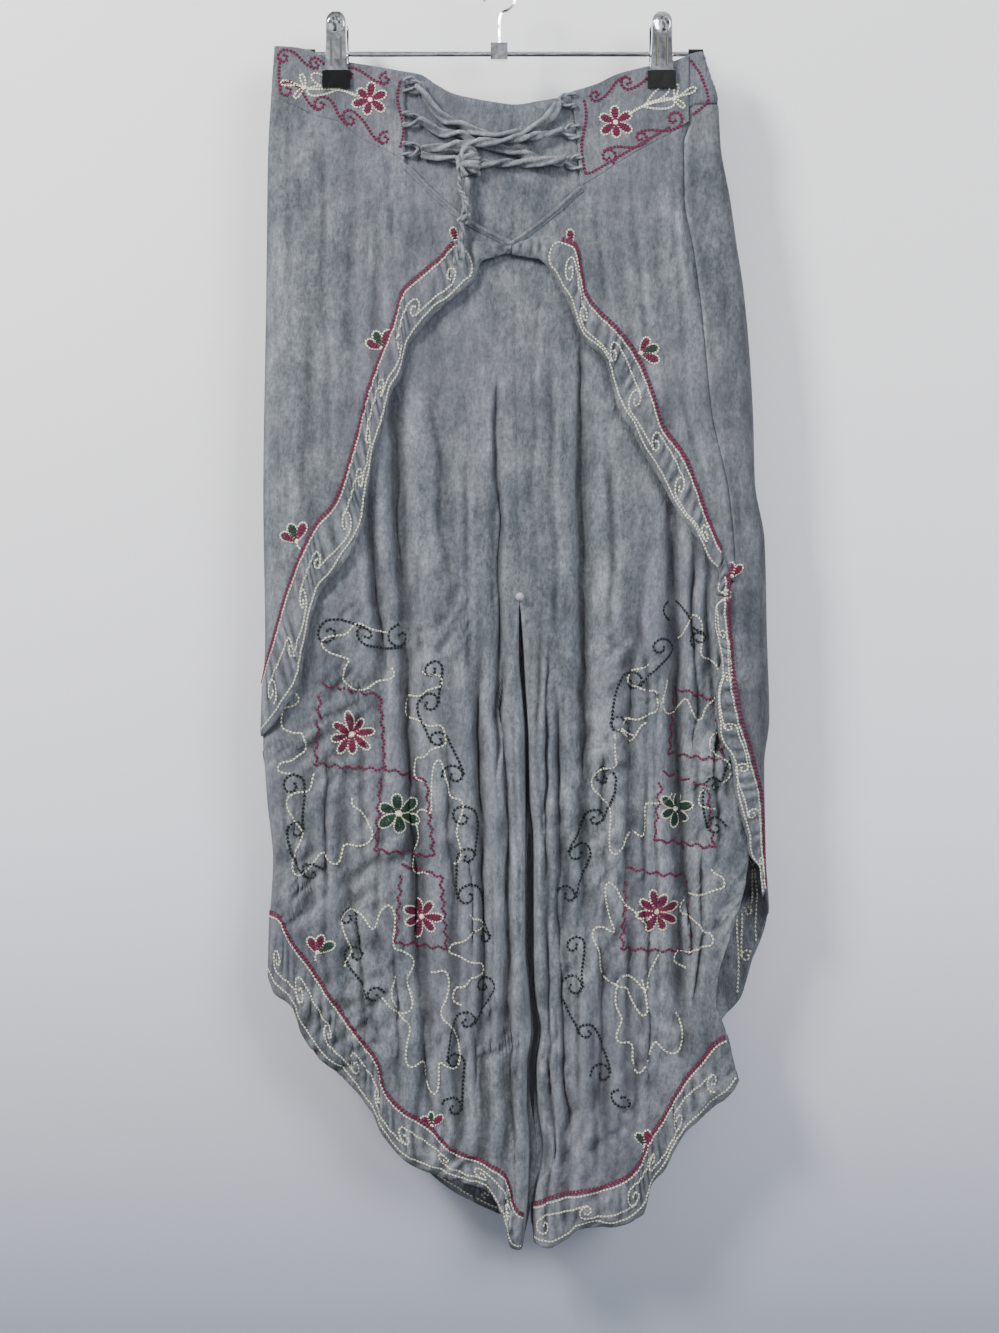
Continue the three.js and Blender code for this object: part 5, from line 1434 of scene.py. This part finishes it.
def embroider_yokes():
    cloth = PanelCloth(overlay_y)

    def scroll_along(table, start_x, end_x, offset, count, radius, seed, side=1):
        start = (start_x, float(table.at(start_x)) + offset)
        end = (end_x, float(table.at(end_x)) + offset)
        for stroke in running_scroll(math.dist(start, end), count, radius, 1.2, False, seed):
            flat = moved(stroke * np.array([1.0, side]), start, heading_of(start, end))
            shift = table.at(np.clip(flat[:, 0], *sorted((start_x, end_x)))) - np.interp(
                flat[:, 0], *zip(*sorted((start, end)))) + offset
            flat = flat + np.stack([0 * shift, 0.8 * shift], axis=1)
            stitch(cloth, "yokes", "burgundy", flat, YOKE_SCROLL)

    scroll_along(YOKE_LOW_LEFT, -192.0, -80.0, 10.5, 4, 7.2, 0.3)
    scroll_along(YOKE_TOP_LEFT, -196.0, -80.0, -9.5, 4, 6.0, 1.4)
    scroll_along(YOKE_LOW_RIGHT, 160.0, 72.0, 11.0, 3, 7.0, 0.8)
    scroll_along(YOKE_TOP_RIGHT, 70.0, 160.0, -9.0, 3, 5.8, 2.2, -1)
    for x, top, low, sway in ((-187.0, -68.0, -96.0, 1.6), (-84.5, -88.0, -146.0, 2.6),
                              (72.0, -104.0, -168.0, -2.0)):
        z = np.linspace(top, low, 30)
        line = np.stack([x + sway * np.sin((z - top) / 9.0), z], axis=1)
        stitch(cloth, "yokes", "burgundy", line, YOKE_EDGING)
    low = np.array([[72.0, -168.0], [78.0, -167.5], [96.0, -156.5], [118.0, -143.5], [146.0, -127.0]])
    stitch(cloth, "yokes", "burgundy", resample(low, 50), YOKE_EDGING)
    flower(cloth, "yokes", "burgundy", (-110.5, -104.0), 6, 14.5, 20.0)
    flower(cloth, "yokes", "burgundy", (99.0, -123.5), 6, 14.5, 35.0)
    leaf_stem(cloth, (-122.0, -101.0), -1, 52.0, 11.0)
    leaf_stem(cloth, (110.0, -117.0), 1, 46.0, 19.0)
    turned = PanelCloth(lapped_y)
    z = np.linspace(-70.0, -106.0, 24)
    outline = np.stack([SIDE_RIGHT.at(z) - 8.0 - 5.0 * smooth(-84, -68, z), z], axis=1)
    outline = np.vstack([[[164.0, -69.5]], outline, [[170.0, -113.0], [164.5, -117.0]]])
    stitch(turned, "yokes", "burgundy", outline, YOKE_EDGING)


def dress_border(strip, start, capped, seed, side, scroll_pitch=44.0):
    """Burgundy and cream piping, a cream line round the whole band and curls along its middle."""
    s = np.linspace(start, strip.length - 2.0, int(strip.length / 2))
    width = np.interp(s, strip.length_at, strip.width_at)
    line = 0.4 * np.sin(s / 17.0 + seed)
    for row in (0.3, 2.1):
        stitch(strip, "borders", "burgundy", np.stack([s, row + line], axis=1), PIPING)
    inner, rim = 4.6 + line, 0.86 * width + 0.8 * np.sin(s / 9.0 + seed)
    for line in (inner, rim):
        stitch(strip, "borders", "cream", np.stack([s, line], axis=1), BAND_LINE)
    if capped:
        turn = np.linspace(0.0, math.pi, 16)
        middle, half = 0.5 * (inner[0] + rim[0]), 0.5 * (rim[0] - inner[0])
        cap = np.stack([s[0] - 0.7 * half * np.sin(turn), middle + half * np.cos(turn)], axis=1)
        stitch(strip, "borders", "cream", cap, BAND_LINE)
    typical = float(np.median(strip.width_at))
    radius = min(max(0.31 * typical, 3.0), 8.2)
    count = max(1, round((strip.length - start) / scroll_pitch))
    for stroke in running_scroll(strip.length - start, count, radius, 1.3, True, seed):
        at = start + stroke[:, 0]
        here = np.interp(at, strip.length_at, strip.width_at)
        scale = np.clip(here / typical, 0.5, 1.3)
        flat = np.stack([at, 0.54 * here + side * stroke[:, 1] * scale], axis=1)
        stitch(strip, "borders", "cream", flat, BAND_CURL)


def embroider_borders():
    overlay = PanelCloth(overlay_y)
    starts = {"overlay_left": 50.0, "overlay_right": 46.0, "slit": 13.0}
    for k, (name, band) in enumerate(bands.items()):
        strip = StripCloth(band, 1 if name.startswith("back") else -1)
        capped = name.startswith("overlay")
        dress_border(strip, starts.get(name, 2.0), capped, 1.3 * k, -1 if k % 2 else 1)
    for at, angle in (((-100.0, -318.0), 112), ((-172.0, -482.0), 112)):
        sprig(overlay, "borders", at, angle, 17.0)
    sprig(overlay, "borders", (120.0, -322.0), 20, 17.0)
    for at, angle in (((-37.0, -226.0), 105), ((61.0, -228.0), 95)):
        filled_petal(overlay, "borders", "burgundy", at, angle, 12.0, 6.5)
    sprig(PanelCloth(lapped_y), "borders", (197.0, -512.0), 70, 13.0, ("burgundy", "burgundy"))
    left = PanelCloth(left_under_y)
    right = PanelCloth(right_under_y)
    sprig(left, "borders", (-155.0, -832.0), 75, 17.0, ("green", "burgundy", "burgundy"))
    sprig(left, "borders", (-58.0, -980.0), 90, 13.0)
    sprig(right, "borders", (124.0, -996.0), 80, 14.0, ("burgundy", "burgundy", "green"))


# Stitching of the legs. Boxes: corner, width, height, seed. Flowers: colour, centre, petals, radius,
# first angle. Vines: start, end, curls, radius, seed. Wanders: start, angle, length, seed. Clouds:
# centre, angle, width, height, lobes, seed
LEFT_LEG = {
    "boxes": [((-152.0, -608.0), 50.0, 68.0, 0.4), ((-100.0, -680.0), 38.0, 70.0, 1.6),
              ((-84.0, -762.0), 34.0, 66.0, 2.9)],
    "flowers": [("burgundy", (-126.0, -646.0), 8, 18.5, 10.0), ("green", (-86.0, -714.0), 6, 18.0, 35.0),
                ("burgundy", (-66.0, -802.0), 7, 16.5, 0.0)],
    "vines": [((-156.0, -566.0), (-64.0, -556.0), 3, 10.0, 0.4),
              ((-62.0, -580.0), (-40.0, -700.0), 4, 9.5, 2.1),
              ((-40.0, -705.0), (-8.0, -840.0), 4, 10.0, 0.8),
              ((-14.0, -846.0), (-48.0, -985.0), 4, 9.5, 1.7),
              ((-186.0, -676.0), (-150.0, -790.0), 3, 9.5, 1.2),
              ((-130.0, -790.0), (-106.0, -890.0), 3, 9.0, 3.0)],
    "wanders": [((-178.0, -606.0), 4, 70.0, 2.2), ((-66.0, -592.0), 2, 84.0, 3.1),
                ((-26.0, -800.0), -2, 74.0, 2.7)],
    "clouds": [((-112.0, -578.0), 8, 58.0, 52.0, 5, 0.4), ((-146.0, -718.0), -14, 62.0, 78.0, 6, 1.3),
               ((-104.0, -842.0), 16, 52.0, 92.0, 6, 2.6), ((-52.0, -732.0), -6, 36.0, 96.0, 6, 3.4),
               ((-62.0, -890.0), 10, 44.0, 104.0, 6, 5.1)]}
RIGHT_LEG = {
    "boxes": [((150.0, -612.0), 34.0, 56.0, 0.9), ((138.0, -684.0), 38.0, 58.0, 2.1),
              ((108.0, -764.0), 52.0, 68.0, 3.3)],
    "flowers": [("green", (150.0, -710.0), 6, 15.0, 20.0), ("burgundy", (134.0, -797.0), 8, 18.0, 15.0)],
    "vines": [((134.0, -540.0), (190.0, -572.0), 2, 9.5, 0.9),
              ((140.0, -556.0), (90.0, -664.0), 3, 10.0, 1.6),
              ((88.0, -670.0), (58.0, -806.0), 4, 10.0, 0.2),
              ((60.0, -812.0), (86.0, -960.0), 4, 9.5, 2.4),
              ((184.0, -640.0), (186.0, -750.0), 3, 9.0, 1.1),
              ((90.0, -966.0), (134.0, -950.0), 1, 9.0, 0.3)],
    "wanders": [((128.0, -586.0), -8, 56.0, 2.5), ((188.0, -640.0), 0, 70.0, 0.7),
                ((180.0, -760.0), -10, 84.0, 2.9)],
    "clouds": [((162.0, -594.0), 6, 44.0, 74.0, 5, 1.9), ((112.0, -690.0), -8, 50.0, 92.0, 6, 0.8),
               ((108.0, -830.0), 10, 46.0, 84.0, 6, 3.9), ((128.0, -884.0), -10, 56.0, 78.0, 6, 4.6)]}


def embroider_leg(cloth, motifs):
    for at, width, height, seed in motifs["boxes"]:
        stitch(cloth, "legs", "burgundy", moved(wavy_box(width, height, seed), at), BOX)
    for colour, at, petals, radius, start in motifs["flowers"]:
        flower(cloth, "legs", colour, at, petals, radius, start)
    for start, end, curls, radius, seed in motifs["vines"]:
        vine(cloth, "pine", start, end, curls, radius, seed)
    for at, angle, length, seed in motifs["wanders"]:
        stitch(cloth, "legs", "cream", moved(meander(length, seed), at, angle), WANDER)
    for at, angle, width, height, lobes, seed in motifs["clouds"]:
        stitch(cloth, "legs", "cream", moved(lobed(width, height, lobes, seed), at, angle), WANDER)


def embroider_inner_hems():
    """Lines and curls on the inner sides of the back hems, seen where the front ends higher."""
    inside = PanelCloth(right_back_y, in_right_back)
    z = np.linspace(-742.0, -872.0, 90)
    for inset in (8.0, 24.0):
        line = np.stack([SIDE_RIGHT.at(z) - inset - 0.8 * np.sin(z / 11.0), z], axis=1)
        stitch(inside, "legs", "cream", line, INNER_EDGE)
    under_left = PanelCloth(left_back_y)
    x = np.linspace(-112.0, 6.0, 80)
    for inset in (5.0, 22.0):
        line = np.stack([x, HEM_BACK_LEFT.at(x) + inset + 0.7 * np.sin(x / 8.0)], axis=1)
        stitch(under_left, "legs", "cream", line, INNER_LINE)
    for stroke in running_scroll(118.0, 4, 5.2, 1.3, True, 1.9):
        across = stroke[:, 0] - 112.0
        flat = np.stack([across, HEM_BACK_LEFT.at(across) + 13.0 + stroke[:, 1]], axis=1)
        stitch(under_left, "legs", "cream", flat, INNER_CURL)
    for stroke in running_scroll(124.0, 3, 5.4, 1.3, True, 0.7):
        flat = moved(stroke, (0.0, -744.0), -90.0)
        flat[:, 0] += SIDE_RIGHT.at(flat[:, 1]) - 16.0
        stitch(inside, "legs", "cream", flat, INNER_LINE)


embroider_yokes()
embroider_borders()
embroider_leg(PanelCloth(left_under_y, on_left_leg), LEFT_LEG)
embroider_leg(PanelCloth(right_under_y, on_right_leg), RIGHT_LEG)
embroider_inner_hems()
finish_threads()


# Hanger finishes: the CAD solids keep their shape and take a material each
def dress(node, material):
    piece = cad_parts[node]
    piece.data.materials.clear()
    piece.data.materials.append(material)


CLIP_FACE = Table("z front", (-31, -19.0), (-37, -18.6), (-52, -17.2), (-70, -15.4), (-79.6, -14.6))


def pressed(name, points, material):
    mesh_object(name, points.reshape(-1, 3), grid_faces(*points.shape[:2]), material)


def clip_marks(side, centre):
    """The dimple and the two pressed grooves on the front of a clip, the grooves in dark metal as painted
    shade.
    """
    angle = np.linspace(0.0, 2 * math.pi, 33)[:, None]
    reach = np.array([0.4, 2.6, 4.6, 6.2, 7.0, 7.7])[None, :]
    proud = np.array([0.75, 0.8, 1.0, 1.5, 1.55, 0.6])[None, :]
    x, z = centre + reach * np.cos(angle), -41.5 + reach * np.sin(angle)
    pressed(f"clip_{side}_dimple", points_of(x, CLIP_FACE.at(z) - proud, z), CHROME)
    z = np.linspace(-52.0, -76.0, 14)[:, None]
    rib = np.linspace(0.0, math.pi, 9)[None, :]
    for k, offset in enumerate((-4.2, 4.2)):
        x = centre + offset + 1.1 * np.cos(rib) + 0 * z
        y = CLIP_FACE.at(z) - 0.55 - 0.45 * np.sin(rib)
        pressed(f"clip_{side}_groove_{k}", points_of(x, y, z + 0 * rib), GROOVE_SHADE)


for side, centre in CLIP_X.items():
    clip_marks(side, centre)
for part in ("hanger_rod", "hook_bracket", "hanger_hook"):
    dress(part, CHROME)
for part in ("rod_cap_left", "rod_cap_right"):
    dress(part, RUBBER)
for side in ("left", "right"):
    for part in ("front_plate", "back_plate", "spring"):
        dress(f"clip_{side}_{part}", CHROME)
    for part in ("front_pad", "back_pad"):
        dress(f"clip_{side}_{part}", RUBBER)
dress("crotch_bead", BEAD)


# Stage: a wall close behind, darker and bluer towards the bottom as painted shade, a soft key from the upper
# left and a weak fill from the right
def make_stage():
    bpy.ops.mesh.primitive_plane_add(size=1.0, location=(0.0, 0.045, -0.55))
    backdrop = bpy.context.object
    backdrop.name = "backdrop"
    backdrop.rotation_euler = (math.radians(90.0), 0.0, 0.0)
    backdrop.scale = (3.0, 3.0, 1.0)
    material, nodes, links = new_material("wall_paint_and_shade")
    height = nodes.new("ShaderNodeSeparateXYZ")
    links.new(nodes.new("ShaderNodeTexCoord").outputs["Generated"], height.inputs["Vector"])
    # Painted shade: the wall's colour falls to dark blue-grey towards the bottom.
    paint = ramp(nodes, links, height.outputs["Y"], [
        (0.28, (0.31, 0.34, 0.42)), (0.44, (0.90, 0.90, 0.96)), (0.58, (1.0, 1.0, 1.0))])
    links.new(paint, nodes["Principled BSDF"].inputs["Base Color"])
    nodes["Principled BSDF"].inputs["Roughness"].default_value = 0.7
    backdrop.data.materials.append(material)


def area_light(name, location, target, size, power, colour):
    data = bpy.data.lights.new(name, "AREA")
    data.shape = "RECTANGLE"
    data.size, data.size_y = size
    data.energy = power
    data.color = colour
    light = bpy.data.objects.new(name, data)
    light.location = location
    light.rotation_euler = (Vector(target) - Vector(location)).to_track_quat("-Z", "Y").to_euler()
    scene.collection.objects.link(light)


make_stage()
area_light("key", (-1.45, -1.35, 0.85), (0.05, 0.0, -0.55), (0.55, 0.55), 68.0, (1.0, 0.985, 0.96))
area_light("fill", (1.4, -2.0, 0.3), (0.0, 0.0, -0.6), (1.2, 1.2), 42.0, (0.93, 0.95, 1.0))


def light_room():
    """Even light for the cloth; mirrors see dark and bright bands instead, as in a real room."""
    world = bpy.data.worlds.new("room")
    world.use_nodes = True
    nodes, links = world.node_tree.nodes, world.node_tree.links
    background = nodes["Background"]
    mirrored = nodes.new("ShaderNodeLightPath").outputs["Is Glossy Ray"]
    place = nodes.new("ShaderNodeTexCoord").outputs["Generated"]
    bands = noise_share(nodes, links, place, 6.0, (1.0, 1.0, 0.6), 1.0)
    seen = ramp(nodes, links, bands, [
        (0.40, (0.02, 0.02, 0.03)), (0.50, (0.30, 0.32, 0.35)), (0.60, (1.0, 1.0, 1.0))])
    even = (0.80, 0.83, 0.90)
    links.new(mixed(nodes, links, "MIX", mirrored, even, seen), background.inputs["Color"])
    links.new(scaled(nodes, links, mirrored, 0.57, 0.95), background.inputs["Strength"])
    scene.world = world


light_room()
